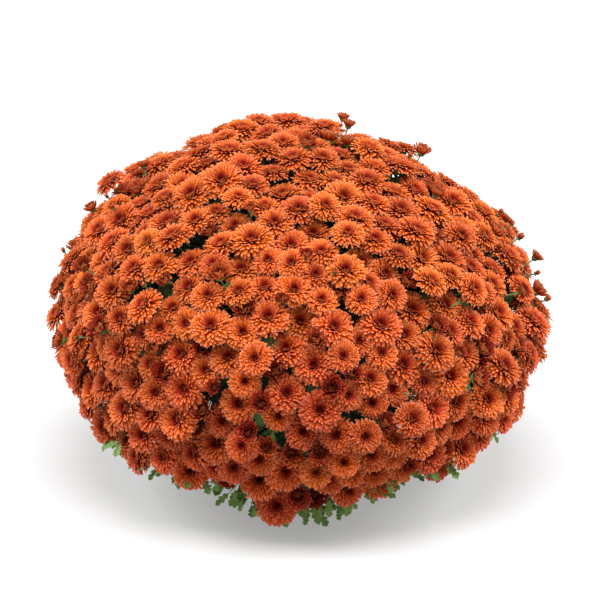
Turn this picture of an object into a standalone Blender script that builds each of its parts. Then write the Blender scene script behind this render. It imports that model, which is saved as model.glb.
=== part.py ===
# Pot chrysanthemum: a ball of orange blooms on leafy stems, in a plain nursery pot.
# The pot stands on the XY plane with its axis on Z, and -Y is the front. Units are metres.

import math

import bmesh
import bpy
import numpy as np
from mathutils import Vector, geometry
from mathutils.bvhtree import BVHTree

MM = 0.001
SEED = 5

# The ball of blooms: a flattened sphere, measured over the faces of the blooms
BALL_RADIUS = 249 * MM
BALL_RISE = 202 * MM
BALL_CENTRE_Z = 168 * MM
SKIRT_FRONT = 0.64  # how far below the centre the blooms reach, as a share of BALL_RISE
SKIRT_SIDES = 0.43
FRONT_FALLOFF = 5  # the larger, the narrower the front part that hangs low
TAPER = 0.37  # how much the ball draws in toward its underside, away from the front
SHOULDER = 0.055  # how much flatter the slope is between the crown and the widest ring
LUMP = 0.022  # how far the ball swells and dips, as a share of its size
RIPPLE = 0.012  # the same for the smaller swells between them
CROWN_SHIFT = -13 * MM  # the crown stands a little to the left of the pot's axis

# Blooms, and the half-open ones that stand between them
OPEN_BLOOMS = 545
SMALL_BLOOMS = 140
OPEN_RADIUS = (13.5 * MM, 19.5 * MM)
SMALL_RADIUS = (5.0 * MM, 9.5 * MM)
PACKING = 0.93  # how near two blooms stand, as a share of their two radii
SETTLE_STEPS = 60
FACE_LIFT = 0.95  # 1 faces straight out of the ball, 0 faces straight up
FACE_LIFT_BELOW = 0.35  # the same for the share of the turn that goes below level
FACE_SCATTER = 0.16
DEEPEST_BLOOM = 15 * MM
PROUDEST_BLOOM = 8 * MM  # how far a few blooms stand out beyond the rest
PETALS = 4
NOTCH = 0.76  # radius of the dip between two petals, as a share of the bloom's
TIP_DROP = 0.22
NOTCH_RISE = 0.06
BLOOM_GAP = 1.03  # blooms are kept clear of each other at this many times their size

# Sprays: the blooms of one branch stand out of a smaller wedge of growth
SPRAYS = 25
SPRAY_LOWEST = -0.34
SKIRT_MARGIN = 0.03  # how far the lowest wedges reach below the lowest blooms
WEDGE_DEPTH = 29 * MM  # from the faces of the blooms down to the wedge
WEDGE_GAP = 0.012  # half the gap between two wedges, as a share of the ball
WEDGE_ROOT = 0.60  # where a wedge tapers to its branch, as a share of the ball
PLATE_RADIUS = 5 * MM
FOOT_SHARE = 0.015  # radius of a bloom's foot on the wedge, as a share of the ball
FOOT_MARGIN = 0.026
BLOOM_CLEARANCE = 3 * MM

# Pot and growing medium
POT_BASE_RADIUS = 66 * MM
POT_RIM_RADIUS = 95 * MM
POT_HEIGHT = 140 * MM
POT_WALL = 2.4 * MM
RIM_BAND = 16 * MM
RIM_STEP = 2.6 * MM
POT_SIDES = 28
DRAIN_HOLES = 6
DRAIN_RADIUS = 5 * MM
DRAIN_CIRCLE = 44 * MM
SOIL_TOP = 126 * MM
SOIL_CROWN = 4 * MM
TOUCH_GAP = 0.3 * MM

# Stems
TRUNK_CIRCLE = 46 * MM
OUTER_TRUNKS = 6
TRUNK_RADIUS = 4.6 * MM
TRUNK_RISE = 30 * MM
TRUNK_SUNK = 24 * MM
CROWN_KNOT = 8 * MM  # half the size of the swelling where the branches leave the trunk
BRANCH_RADIUS = 2.8 * MM
BRANCHING_Z = 190 * MM
BRANCH_NECK = 8 * MM  # the straight end of a branch, square to the wedge that it carries
BRANCH_STEPS = 2
SHOOTS_PER_TRUNK = 3
SHOOT_RADIUS = 1.9 * MM
SHOOT_SPREAD = math.radians(20)
SHOOT_REACH = (52 * MM, 72 * MM)  # beyond the pot's rim
SHOOT_ROOM = 0.06
UNDER_BLOOMS = 12 * MM
FLOOR_CLEARANCE = 14 * MM

# Leaves
LEAF_LENGTH = 38 * MM
LEAF_WIDTH = 24 * MM
LEAF_THICKNESS = 1.6 * MM
LEAF_DROOP = 0.10
LEAF_KEEL = 0.02
LEAF_ROOM = 1.05  # leaves are kept clear of the blooms at this many times their size
LEAF_TRIES = (1.0, 1.0, 0.9, 0.9, 0.8, 0.7, 0.6)
LEAVES_PER_SHOOT = 4

GOLDEN_ANGLE = math.pi * (3 - math.sqrt(5))


# Where the blooms stand

def frontness(x, y):
    """1 straight to the front, falling to 0 at the sides, and 0 behind."""
    level = math.hypot(x, y)
    return max(0.0, -y / level) ** FRONT_FALLOFF if level > 1e-9 else 0.0


def skirt_height(x, y):
    """The lowest height of a bloom's direction on this side of the ball."""
    return -(SKIRT_SIDES + (SKIRT_FRONT - SKIRT_SIDES) * frontness(x, y))


def lump(direction):
    """How much larger or smaller the ball is in this direction, as a factor."""
    x, y, z = direction
    waves = math.sin(3.1 * x + 4.3 * z + 0.8) + math.sin(4.7 * y - 2.9 * x + 2.1)
    waves += math.sin(5.3 * z + 2.2 * y)
    ripples = math.sin(9.7 * x + 1.9) * math.cos(8.3 * z - 6.1 * y)
    drawn_in = TAPER * min(z, 0) ** 2 * (1 - frontness(x, y))
    shoulder = SHOULDER * 4 * max(z, 0) ** 2 * (1 - z ** 2)
    return 1 + LUMP * 0.5 * waves + RIPPLE * ripples - drawn_in - shoulder


def on_ball(direction, depth=0.0):
    """The point of the ball in a direction of the unit sphere, depth metres below the faces."""
    swell = lump(direction)
    lean = CROWN_SHIFT * max(direction[2], 0)
    return Vector((
        direction[0] * (BALL_RADIUS * swell - depth) + lean,
        direction[1] * (BALL_RADIUS * swell - depth),
        direction[2] * (BALL_RISE * swell - depth) + BALL_CENTRE_Z,
    ))


def ball_normal(direction):
    x, y, z = direction
    return Vector((x / BALL_RADIUS, y / BALL_RADIUS, z / BALL_RISE)).normalized()


def even_heights(count, lowest, thinning):
    """Heights on the unit sphere for points that lie evenly over the real, flattened ball."""
    z = np.linspace(lowest, 1.0, 400)
    area = np.sqrt((BALL_RADIUS * z) ** 2 + BALL_RISE ** 2 * (1 - z ** 2))
    area *= np.where(z < 0, 1 + thinning * z / abs(lowest), 1.0)
    total = np.concatenate([[0.0], np.cumsum((area[1:] + area[:-1]) / 2)])
    return np.interp((np.arange(count) + 0.5) / count, total / total[-1], z)


def spiral(count, lowest, thinning=0.0):
    """Directions that wind down the ball at the golden angle."""
    z = even_heights(count, lowest, thinning)
    turn = np.arange(count) * GOLDEN_ANGLE
    ring = np.sqrt(1 - z ** 2)
    return np.stack([ring * np.cos(turn), ring * np.sin(turn), z], axis=1)


def spread_blooms():
    """Directions and radii of every bloom, pushed apart until each has its room."""
    random = np.random.default_rng(SEED)
    count = OPEN_BLOOMS + SMALL_BLOOMS
    radii = np.concatenate([
        random.uniform(*OPEN_RADIUS, OPEN_BLOOMS),
        random.uniform(*SMALL_RADIUS, SMALL_BLOOMS),
    ])
    radii = radii[random.permutation(count)]
    half_axes = np.array([BALL_RADIUS, BALL_RADIUS, BALL_RISE])
    directions = above_skirt(spiral(count, -SKIRT_FRONT, thinning=0.30), squeeze=True)
    points = directions * half_axes
    points += random.normal(0, 0.25 * OPEN_RADIUS[0], points.shape)
    wanted = (radii[:, None] + radii[None, :]) * PACKING
    for _ in range(SETTLE_STEPS):
        apart = points[:, None] - points[None, :]
        distance = np.linalg.norm(apart, axis=2) + 1e-9
        np.fill_diagonal(distance, 1.0)
        push = np.clip(wanted - distance, 0, None) / distance
        points = points + 0.35 * (apart * push[:, :, None]).sum(axis=1)
        points = above_skirt(points / half_axes) * half_axes
    return points / half_axes, radii


def above_skirt(directions, squeeze=False):
    """Unit directions kept above the skirt, or with the whole lower half squeezed up to it."""
    directions = directions / np.linalg.norm(directions, axis=1)[:, None]
    lowest = np.array([skirt_height(x, y) for x, y, _ in directions])
    z = directions[:, 2]
    if squeeze:
        z = np.where(z < 0, z * lowest / -SKIRT_FRONT, z)
    z = np.maximum(z, lowest)
    level = np.linalg.norm(directions[:, :2], axis=1)[:, None]
    ring = np.sqrt(1 - z ** 2)[:, None]
    return np.concatenate([directions[:, :2] / level * ring, z[:, None]], axis=1)


def bloom_layout():
    """Each bloom as a dict: its direction on the ball, centre, facing, radius and turn."""
    directions, radii = spread_blooms()
    random = np.random.default_rng(SEED + 1)
    blooms = []
    for direction, radius in zip(directions, radii):
        normal = ball_normal(direction)
        tilt = math.acos(max(-1.0, min(1.0, normal.z)))
        tilt = min(tilt, math.pi / 2) * FACE_LIFT + max(0, tilt - math.pi / 2) * FACE_LIFT_BELOW
        level = Vector((normal.x, normal.y, 0))
        level = level.normalized() if level.length > 1e-6 else Vector((1, 0, 0))
        facing = Vector((0, 0, 1)) * math.cos(tilt) + level * math.sin(tilt)
        facing = (facing + Vector(random.normal(0, FACE_SCATTER, 3))).normalized()
        draw = random.random()
        depth = DEEPEST_BLOOM * draw ** 1.6 - PROUDEST_BLOOM * (1 - draw) ** 5
        centre = on_ball(direction) - normal * depth
        centre += normal * short_of_clear(centre, facing, float(radius))
        blooms.append({
            "direction": Vector(direction),
            "centre": centre,
            "facing": facing,
            "normal": normal,
            "radius": float(radius),
            "turn": random.uniform(0, 2 * math.pi),
            "open": radius >= OPEN_RADIUS[0],
        })
    return blooms


def short_of_clear(centre, facing, radius):
    """How far a bloom must rise for the edge of its face to clear the wedge below it."""
    right, up = side_axes(facing)
    short = 0.0
    for k in range(8):
        angle = math.pi * k / 4
        edge = centre + (right * math.cos(angle) + up * math.sin(angle)) * radius
        edge -= facing * TIP_DROP * radius
        unit = ball_direction(edge)
        above = (edge - on_ball(unit, WEDGE_DEPTH)).dot(ball_normal(unit))
        short = max(short, BLOOM_CLEARANCE - above)
    return short


def ball_direction(point):
    """The direction on the unit sphere in which a point near the ball's surface lies."""
    return Vector((
        point.x / BALL_RADIUS,
        point.y / BALL_RADIUS,
        (point.z - BALL_CENTRE_Z) / BALL_RISE,
    )).normalized()


def spray_centres():
    directions = above_skirt(spiral(SPRAYS, SPRAY_LOWEST))
    return [Vector(d).normalized() for d in directions]


def nearest(direction, centres):
    return max(range(len(centres)), key=lambda k: direction.dot(centres[k]))


# Meshes and materials

def plain_material(name, colour, roughness):
    material = bpy.data.materials.new(name)
    material.use_nodes = True
    shader = material.node_tree.nodes["Principled BSDF"]
    shader.inputs["Base Color"].default_value = (*colour, 1)
    shader.inputs["Roughness"].default_value = roughness
    shader.inputs["Metallic"].default_value = 0.0
    return material


def new_object(name, vertices, faces, material):
    mesh = bpy.data.meshes.new(name)
    mesh.from_pydata([tuple(v) for v in vertices], [], faces)
    mesh.validate()
    mesh.materials.append(material)
    made = bpy.data.objects.new(name, mesh)
    bpy.context.scene.collection.objects.link(made)
    return made


def combine(target, pieces, operation):
    """Applies one Boolean of all the pieces to the target, and removes the pieces."""
    helpers = bpy.data.collections.new("helpers")
    bpy.context.scene.collection.children.link(helpers)
    for piece in pieces:
        bpy.context.scene.collection.objects.unlink(piece)
        helpers.objects.link(piece)
    modifier = target.modifiers.new("combine", "BOOLEAN")
    modifier.operation = operation
    modifier.operand_type = "COLLECTION"
    modifier.collection = helpers
    modifier.solver = "MANIFOLD"
    graph = bpy.context.evaluated_depsgraph_get()
    result = bpy.data.meshes.new_from_object(target.evaluated_get(graph))
    target.modifiers.clear()
    target.data = result
    for piece in pieces:
        bpy.data.objects.remove(piece)
    bpy.data.collections.remove(helpers)


def keep_main_body(thing):
    """Drops the loose scraps, and fills the closed pockets, that a union can leave."""
    mesh = bmesh.new()
    mesh.from_mesh(thing.data)
    unseen = set(mesh.faces)
    bodies = []
    while unseen:
        body, front = set(), [next(iter(unseen))]
        while front:
            face = front.pop()
            if face in unseen:
                unseen.remove(face)
                body.add(face)
                front += [near for edge in face.edges for near in edge.link_faces]
        bodies.append(body)
    main_body = max(bodies, key=len)
    scraps = [face for body in bodies if body is not main_body for face in body]
    bmesh.ops.delete(mesh, geom=scraps, context="FACES")
    mesh.to_mesh(thing.data)
    mesh.free()


def turned(name, profile, sides, material):
    """A solid of revolution. The profile runs from the axis at the bottom, out and up, to the axis."""
    vertices, rings = [], []
    for radius, z in profile:
        if radius == 0:
            rings.append([len(vertices)] * sides)
            vertices.append((0, 0, z))
            continue
        rings.append(list(range(len(vertices), len(vertices) + sides)))
        for k in range(sides):
            angle = 2 * math.pi * k / sides
            vertices.append((radius * math.cos(angle), radius * math.sin(angle), z))
    faces = []
    for low, high in zip(rings, rings[1:]):
        for k in range(sides):
            corner = [low[k], low[(k + 1) % sides], high[(k + 1) % sides], high[k]]
            faces.append(list(dict.fromkeys(corner)))
    return new_object(name, vertices, faces, material)


def side_axes(forward):
    """Two directions square to forward and to each other."""
    forward = forward.normalized()
    helper = Vector((0, 0, 1)) if abs(forward.z) < 0.9 else Vector((1, 0, 0))
    right = helper.cross(forward).normalized()
    return right, forward.cross(right)


def tube(name, path, radii, sides, material):
    """A closed round bar along a path, with a radius at each of its points."""
    vertices, faces = [], []
    right, up = side_axes(path[1] - path[0])
    for k, point in enumerate(path):
        before, after = path[max(k - 1, 0)], path[min(k + 1, len(path) - 1)]
        forward = (after - before).normalized()
        right = (right - forward * right.dot(forward)).normalized()
        up = forward.cross(right)
        for side in range(sides):
            angle = 2 * math.pi * side / sides
            spoke = right * math.cos(angle) + up * math.sin(angle)
            vertices.append(point + spoke * radii[k])
    for k in range(len(path) - 1):
        for side in range(sides):
            a, b = k * sides + side, k * sides + (side + 1) % sides
            faces.append([a, b, b + sides, a + sides])
    faces.append(list(range(sides - 1, -1, -1)))
    faces.append(list(range(len(vertices) - sides, len(vertices))))
    return new_object(name, vertices, faces, material)


def curve_points(start, pull_out, pull_in, end, steps):
    """Points along one smooth curve, with its two inner control points given."""
    return [
        start * (1 - t) ** 3 + pull_out * 3 * t * (1 - t) ** 2
        + pull_in * 3 * t ** 2 * (1 - t) + end * t ** 3
        for t in (k / steps for k in range(steps + 1))
    ]


# Pot and growing medium

def pot_inner_radius(z):
    return POT_BASE_RADIUS + (POT_RIM_RADIUS - RIM_STEP - POT_BASE_RADIUS) * z / POT_HEIGHT - POT_WALL


def pot_outer_radius(z):
    return pot_inner_radius(z) + POT_WALL


def build_pot(material):
    band_z = POT_HEIGHT - RIM_BAND
    pot = turned("pot", [
        (0, 0),
        (POT_BASE_RADIUS - 3 * MM, 0),
        (POT_BASE_RADIUS, 3 * MM),
        (pot_outer_radius(band_z), band_z),
        (POT_RIM_RADIUS, band_z),
        (POT_RIM_RADIUS, POT_HEIGHT),
        (pot_inner_radius(POT_HEIGHT), POT_HEIGHT),
        (pot_inner_radius(POT_WALL), POT_WALL),
        (0, POT_WALL),
    ], POT_SIDES, material)
    drains = []
    for k in range(DRAIN_HOLES):
        angle = 2 * math.pi * (k + 0.5) / DRAIN_HOLES
        foot = Vector((math.cos(angle), math.sin(angle), 0)) * DRAIN_CIRCLE
        path = [foot - Vector((0, 0, 5 * MM)), foot + Vector((0, 0, 5 * MM))]
        drains.append(tube("drain", path, [DRAIN_RADIUS] * 2, 6, material))
    combine(pot, drains, "DIFFERENCE")
    return pot


def build_soil(material, trunk_feet):
    bottom = POT_WALL + TOUCH_GAP
    soil = turned("growing_medium", [
        (0, bottom),
        (pot_inner_radius(bottom) - TOUCH_GAP * 1.6, bottom),
        (pot_inner_radius(SOIL_TOP) - TOUCH_GAP * 1.6, SOIL_TOP),
        (pot_inner_radius(SOIL_TOP) * 0.6, SOIL_TOP + SOIL_CROWN * 0.8),
        (0, SOIL_TOP + SOIL_CROWN),
    ], POT_SIDES, material)
    holes = []
    for foot in trunk_feet:
        path = [
            Vector((foot.x, foot.y, SOIL_TOP - TRUNK_SUNK)),
            Vector((foot.x, foot.y, SOIL_TOP + 3 * SOIL_CROWN)),
        ]
        holes.append(tube("hole", path, [TRUNK_RADIUS + 2 * TOUCH_GAP] * 2, 6, material))
    combine(soil, holes, "DIFFERENCE")
    return soil


# Sprays of blooms

def clip(outline, slope, level):
    """The part of a convex outline where slope . point + level is not negative."""
    kept = []
    for a, b in zip(outline, outline[1:] + outline[:1]):
        inside_a = slope.dot(a) + level
        inside_b = slope.dot(b) + level
        if inside_a >= 0:
            kept.append(a)
        if inside_a * inside_b < 0:
            kept.append(a.lerp(b, inside_a / (inside_a - inside_b)))
    return kept


def wedge_outline(k, centres):
    """The spray's share of the ball, as a polygon on the plane that touches the ball at its centre."""
    centre = centres[k]
    right, up = side_axes(centre)
    outline = [Vector((x, y)) for x, y in ((-1, -1), (1, -1), (1, 1), (-1, 1))]
    for other in centres:
        away = centre - other
        if away.length > 1e-6:
            slope = Vector((away.dot(right), away.dot(up)))
            outline = clip(outline, slope, away.dot(centre) - WEDGE_GAP * away.length)
    lowest = skirt_height(centre.x, centre.y) - SKIRT_MARGIN
    level = Vector((centre.x, centre.y, 0)).normalized()
    over = Vector((0, 0, math.sqrt(1 - lowest ** 2))) - level * lowest
    outline = clip(outline, Vector((over.dot(right), over.dot(up))), over.dot(centre))
    return outline, right, up


def inset_point(point, outline, margin):
    """The point, moved in from any edge of the outline that it is nearer to than the margin."""
    moved = point.copy()
    for _ in range(4):
        for a, b in zip(outline, outline[1:] + outline[:1]):
            along = (b - a).normalized()
            inward = Vector((-along.y, along.x))
            short = margin - (moved - a).dot(inward)
            if short > 0:
                moved += inward * short
    return moved


def bloom_ring(bloom, size):
    """The bloom's outline: petal tips and the dips between them in turn."""
    right, up = side_axes(bloom["facing"])
    radius = bloom["radius"] * size
    ring = []
    for k in range(2 * PETALS):
        angle = bloom["turn"] + math.pi * k / PETALS
        spoke = right * math.cos(angle) + up * math.sin(angle)
        if k % 2 == 0:
            ring.append(bloom["centre"] + spoke * radius - bloom["facing"] * radius * TIP_DROP)
        else:
            ring.append(bloom["centre"] + spoke * radius * NOTCH + bloom["facing"] * radius * NOTCH_RISE)
    return ring


def bloom_faces(ring, foot):
    """Faces of one bloom: its petals, the face between them, and a base that narrows to the foot."""
    count = len(ring)
    faces = [[ring[k - 1], ring[k], ring[k + 1]] for k in range(0, count, 2)]
    dips = ring[1::2]
    faces += [[dips[0], dips[k], dips[k + 1]] for k in range(1, len(dips) - 1)]
    corner = 0
    for k in range(count):
        after = (k + 1) % count
        faces.append([ring[after], ring[k], foot[corner % 3]])
        if (k + 1) * 3 // count > corner:
            faces.append([ring[after], foot[corner % 3], foot[(corner + 1) % 3]])
            corner += 1
    return faces


def foot_corners(bloom, middle, right, up):
    """Three points round the bloom's foot on the spray's plane, turned with its petals."""
    face_right, face_up = side_axes(bloom["facing"])
    first = face_right * math.cos(bloom["turn"]) + face_up * math.sin(bloom["turn"])
    start = math.atan2(first.dot(up), first.dot(right))
    angles = [start + 2 * math.pi * (k + 0.5) / 3 for k in range(3)]
    return [middle + Vector((math.cos(a), math.sin(a))) * FOOT_SHARE for a in angles]


def bloom_tree(bloom, size):
    """A tree for finding which blooms touch, with the bloom drawn a little larger than it is."""
    ring = bloom_ring(bloom, size * BLOOM_GAP)
    count = len(ring)
    faces = bloom_faces(list(range(count)), [count, count + 1, count + 2])
    return BVHTree.FromPolygons(ring + bloom["foot"], faces)


def fit_blooms(blooms):
    """Shrinks and turns blooms that touch until all stand clear. Each gets its size."""
    sizes = [1.0] * len(blooms)
    trees = [bloom_tree(b, 1.0) for b in blooms]
    reach = 2 * OPEN_RADIUS[1] + 4 * MM
    pairs = [
        (i, j) for i in range(len(blooms)) for j in range(i)
        if (blooms[i]["centre"] - blooms[j]["centre"]).length < reach
    ]
    random = np.random.default_rng(SEED + 2)
    for _ in range(60):
        touching = [(i, j) for i, j in pairs if trees[i].overlap(trees[j])]
        for k in sorted({k for pair in touching for k in pair}):
            sizes[k] *= 0.975
            blooms[k]["turn"] += random.uniform(-0.2, 0.2)
            trees[k] = bloom_tree(blooms[k], sizes[k])
        if not touching:
            break
    return sizes


def wedge_point(flat, centre, right, up):
    """The point of the wedge's outer skin above a point of the spray's plane."""
    return on_ball((centre + right * flat.x + up * flat.y).normalized(), WEDGE_DEPTH)


def plan_feet(blooms, centres):
    """Gives each bloom its spray, and the three corners where it leaves the wedge."""
    plans = [wedge_outline(k, centres) for k in range(len(centres))]
    for bloom in blooms:
        k = nearest(bloom["direction"], centres)
        outline, right, up = plans[k]
        direction = bloom["direction"]
        depth = direction.dot(centres[k])
        flat = Vector((direction.dot(right), direction.dot(up))) / depth
        flat = inset_point(flat, outline, FOOT_MARGIN)
        bloom["spray"] = k
        bloom["flat_foot"] = foot_corners(bloom, flat, right, up)
        bloom["foot"] = [wedge_point(c, centres[k], right, up) for c in bloom["flat_foot"]]
    return plans


def wedge_root(centre):
    """The middle of the small plate where a wedge meets its branch."""
    return Vector((
        centre.x * BALL_RADIUS * WEDGE_ROOT,
        centre.y * BALL_RADIUS * WEDGE_ROOT,
        centre.z * BALL_RISE * WEDGE_ROOT + BALL_CENTRE_Z,
    ))


def root_direction(centre):
    """The way the branch runs where it meets the wedge: up and out, over the pot's rim."""
    root = wedge_root(centre)
    before = Vector((root.x * 0.6, root.y * 0.6, (root.z + 2 * BRANCHING_Z) / 3))
    return (root - before).normalized()


def build_spray(k, centre, plan, blooms, sizes, material):
    """One closed solid: the wedge's skin, the blooms that stand on it, and sides that taper inward."""
    outline, right, up = plan
    border = []
    for a, b in zip(outline, outline[1:] + outline[:1]):
        border += [a, (a + b) / 2]
    flat = [p.to_2d() for p in border]
    rim = list(range(len(flat)))
    feet = []
    for bloom in blooms:
        start = len(flat)
        flat += bloom["flat_foot"]
        feet.append([start, start + 1, start + 2])
    made = geometry.delaunay_2d_cdt(flat, [], [rim] + feet, 1, 1e-7, True)
    points, _, triangles, sources, _, owners = made
    if len(points) != len(flat):
        raise ValueError(f"spray {k}: two feet meet")
    index_of = {source: n for n, found in enumerate(sources) for source in found}
    vertices = [wedge_point(Vector(p), centre, right, up) for p in points]
    faces = []
    for triangle, found in zip(triangles, owners):
        if list(found) == [0]:
            faces.append(list(triangle))
    for bloom, size, foot in zip(blooms, sizes, feet):
        ring = bloom_ring(bloom, size)
        start = len(vertices)
        vertices += ring
        faces += bloom_faces(list(range(start, len(vertices))), [index_of[n] for n in foot])
    loop = [index_of[n] for n in range(len(border))]
    root, forward = wedge_root(centre), root_direction(centre)
    first = vertices[loop[0]] - root
    x_axis = (first - forward * first.dot(forward)).normalized()
    y_axis = forward.cross(x_axis)
    plate = []
    for n in range(3):
        angle = 2 * math.pi * (n + 0.5) / 3
        plate.append(len(vertices))
        vertices.append(root + (x_axis * math.cos(angle) + y_axis * math.sin(angle)) * PLATE_RADIUS)
    corner = 0
    for n in range(len(loop)):
        after = (n + 1) % len(loop)
        faces.append([loop[after], loop[n], plate[corner % 3]])
        if (n + 1) * 3 // len(loop) > corner:
            faces.append([loop[after], plate[corner % 3], plate[(corner + 1) % 3]])
            corner += 1
    faces.append([plate[2], plate[1], plate[0]])
    return new_object(f"spray_{k + 1:02d}", vertices, faces, material)


# Stems and leaves

def trunk_feet():
    """The middle trunk and the ring of six round it."""
    feet = [Vector((0, 0, 0))]
    for k in range(OUTER_TRUNKS):
        angle = 2 * math.pi * (k + 0.5) / OUTER_TRUNKS - math.pi / 2
        feet.append(Vector((math.cos(angle), math.sin(angle), 0)) * TRUNK_CIRCLE)
    return feet


def trunk_of(centre, feet):
    """Which trunk carries a spray: the middle one near the top, else the one on its side."""
    if centre.z > 0.80:
        return 0
    return max(range(1, len(feet)), key=lambda j: centre.x * feet[j].x + centre.y * feet[j].y)


def leaf(base, direction, face, size):
    """Points and faces of a lobed leaf, thickest along its midrib, with its base sunk in the stem."""
    direction = direction.normalized()
    side = face.cross(direction).normalized()
    face = direction.cross(side)
    half = [(0.30, 0.36), (0.44, 0.20), (0.66, 0.46)]
    outline = [(0.0, 0.0)] + [(x, -y) for x, y in half] + [(1.0, 0.0)]
    outline += [(x, y) for x, y in reversed(half)]
    length, width = LEAF_LENGTH * size, LEAF_WIDTH * size
    points = []
    for x, y in outline:
        droop = -LEAF_DROOP * x * x * length
        points.append(base + direction * (x * length) + side * (y * width) + face * droop)
    middle = base + direction * (0.55 * length) + face * (LEAF_KEEL * length)
    points.append(middle + face * LEAF_THICKNESS / 2)
    points.append(middle - face * LEAF_THICKNESS / 2)
    count = len(outline)
    faces = []
    for k in range(count):
        after = (k + 1) % count
        faces.append([k, after, count])
        faces.append([after, k, count + 1])
    return points, faces


def height_below(sprays, radius, angle):
    """Height that a shoot can have under the blooms, at a distance from the pot's axis."""
    heights = [BALL_CENTRE_Z - 0.5 * radius]
    for turn in (-SHOOT_ROOM, 0, SHOOT_ROOM):
        x, y = radius * math.cos(angle + turn), radius * math.sin(angle + turn)
        hit = sprays.ray_cast(Vector((x, y, 0)), Vector((0, 0, 1)))[0]
        if hit:
            heights.append(hit.z)
    return max(min(heights) - UNDER_BLOOMS, FLOOR_CLEARANCE)


def shoot_path(foot, angle, reach, sprays):
    """A leafy side shoot: out of the trunk, over the pot's rim, and down and out under the blooms."""
    out = Vector((math.cos(angle), math.sin(angle), 0))
    path = [
        foot + Vector((0, 0, SOIL_TOP + 0.6 * TRUNK_RISE)),
        foot * 0.4 + out * 56 * MM + Vector((0, 0, POT_HEIGHT + 26 * MM)),
        out * (POT_RIM_RADIUS + 10 * MM) + Vector((0, 0, POT_HEIGHT + 12 * MM)),
    ]
    for radius in (POT_RIM_RADIUS + 20 * MM, POT_RIM_RADIUS + 0.5 * reach, POT_RIM_RADIUS + reach):
        path.append(out * radius + Vector((0, 0, height_below(sprays, radius, angle))))
    return path


def grow_leaves(path, random, taken):
    """Leaves along the hanging part of a shoot, to its left and right in turn and one at its tip."""
    first, last = 2.3, len(path) - 1.02
    leaves = []
    for n in range(LEAVES_PER_SHOOT):
        at = first + (last - first) * n / (LEAVES_PER_SHOOT - 1)
        k = int(at)
        base = path[k].lerp(path[k + 1], at - k)
        forward = (path[k + 1] - path[k]).normalized()
        out = Vector((base.x, base.y, 0)).normalized()
        across = out.cross(Vector((0, 0, 1)))
        sideways = 0 if n == LEAVES_PER_SHOOT - 1 else (1 if n % 2 else -1)
        face = (Vector((0, 0, 1)) + out * random.uniform(0.2, 0.9)).normalized()
        for shrink in LEAF_TRIES:
            lean = random.uniform(-0.35, 0.1)
            direction = forward * 0.6 + out * 0.3 + across * sideways * 0.9 + Vector((0, 0, lean))
            points, faces = leaf(base, direction, face, shrink * random.uniform(0.9, 1.1))
            lowest = min(point.z for point in points)
            middle = sum(points, Vector()) / len(points)
            grown = [middle + (point - middle) * LEAF_ROOM for point in points]
            tree = BVHTree.FromPolygons(grown, faces)
            touching = any(tree.overlap(other) for other in taken)
            if not touching and lowest > FLOOR_CLEARANCE / 2:
                leaves.append((points, faces))
                taken.append(tree)
                break
    return leaves


def tree_of(things):
    """One tree of the faces of several objects."""
    points, faces = [], []
    for thing in things:
        start = len(points)
        points += [vertex.co.copy() for vertex in thing.data.vertices]
        faces += [[start + n for n in face.vertices] for face in thing.data.polygons]
    return BVHTree.FromPolygons(points, faces)


def build_stems(j, foot, roots, taken, material, leaf_material):
    """One trunk with its branches, shoots and leaves, fused into one leafy stem."""
    crown = foot * 1.06 + Vector((0, 0, SOIL_TOP + TRUNK_RISE))
    bottom = Vector((foot.x, foot.y, SOIL_TOP - TRUNK_SUNK + TOUCH_GAP))
    above = Vector((foot.x, foot.y, SOIL_TOP + SOIL_CROWN + 2 * MM))
    below, beyond = crown - Vector((0, 0, CROWN_KNOT)), crown + Vector((0, 0, CROWN_KNOT))
    radii = [TRUNK_RADIUS, TRUNK_RADIUS, TRUNK_RADIUS, CROWN_KNOT, TRUNK_RADIUS]
    trunk = tube(f"leafy_stem_{j + 1:02d}", [bottom, above, below, crown, beyond], radii, 6, material)
    random = np.random.default_rng(SEED + 20 + j)
    pieces = []
    for root, forward in roots:
        end = root - forward * TOUCH_GAP
        start = crown
        span = (end - start).length
        pull = Vector((foot.x * 0.3, foot.y * 0.3, 0.020)).normalized() * span * 0.35
        neck = end - forward * BRANCH_NECK
        path = curve_points(start, start + pull, neck - forward * span * 0.3, neck, BRANCH_STEPS) + [end]
        pieces.append(tube("branch", path, [BRANCH_RADIUS] * len(path), 4, material))
    if j > 0:
        heading = math.atan2(foot.y, foot.x)
        for s in range(SHOOTS_PER_TRUNK):
            angle = heading + SHOOT_SPREAD * (s - 1) + random.uniform(-0.05, 0.05)
            path = shoot_path(foot, angle, random.uniform(*SHOOT_REACH), taken[0])
            radii = [SHOOT_RADIUS] * 4 + [SHOOT_RADIUS * 0.8, SHOOT_RADIUS * 0.6]
            pieces.append(tube("shoot", path, radii, 3, material))
            for points, faces in grow_leaves(path, random, taken):
                pieces.append(new_object("leaf", points, faces, leaf_material))
    combine(trunk, pieces, "UNION")
    keep_main_body(trunk)
    return trunk


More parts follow.
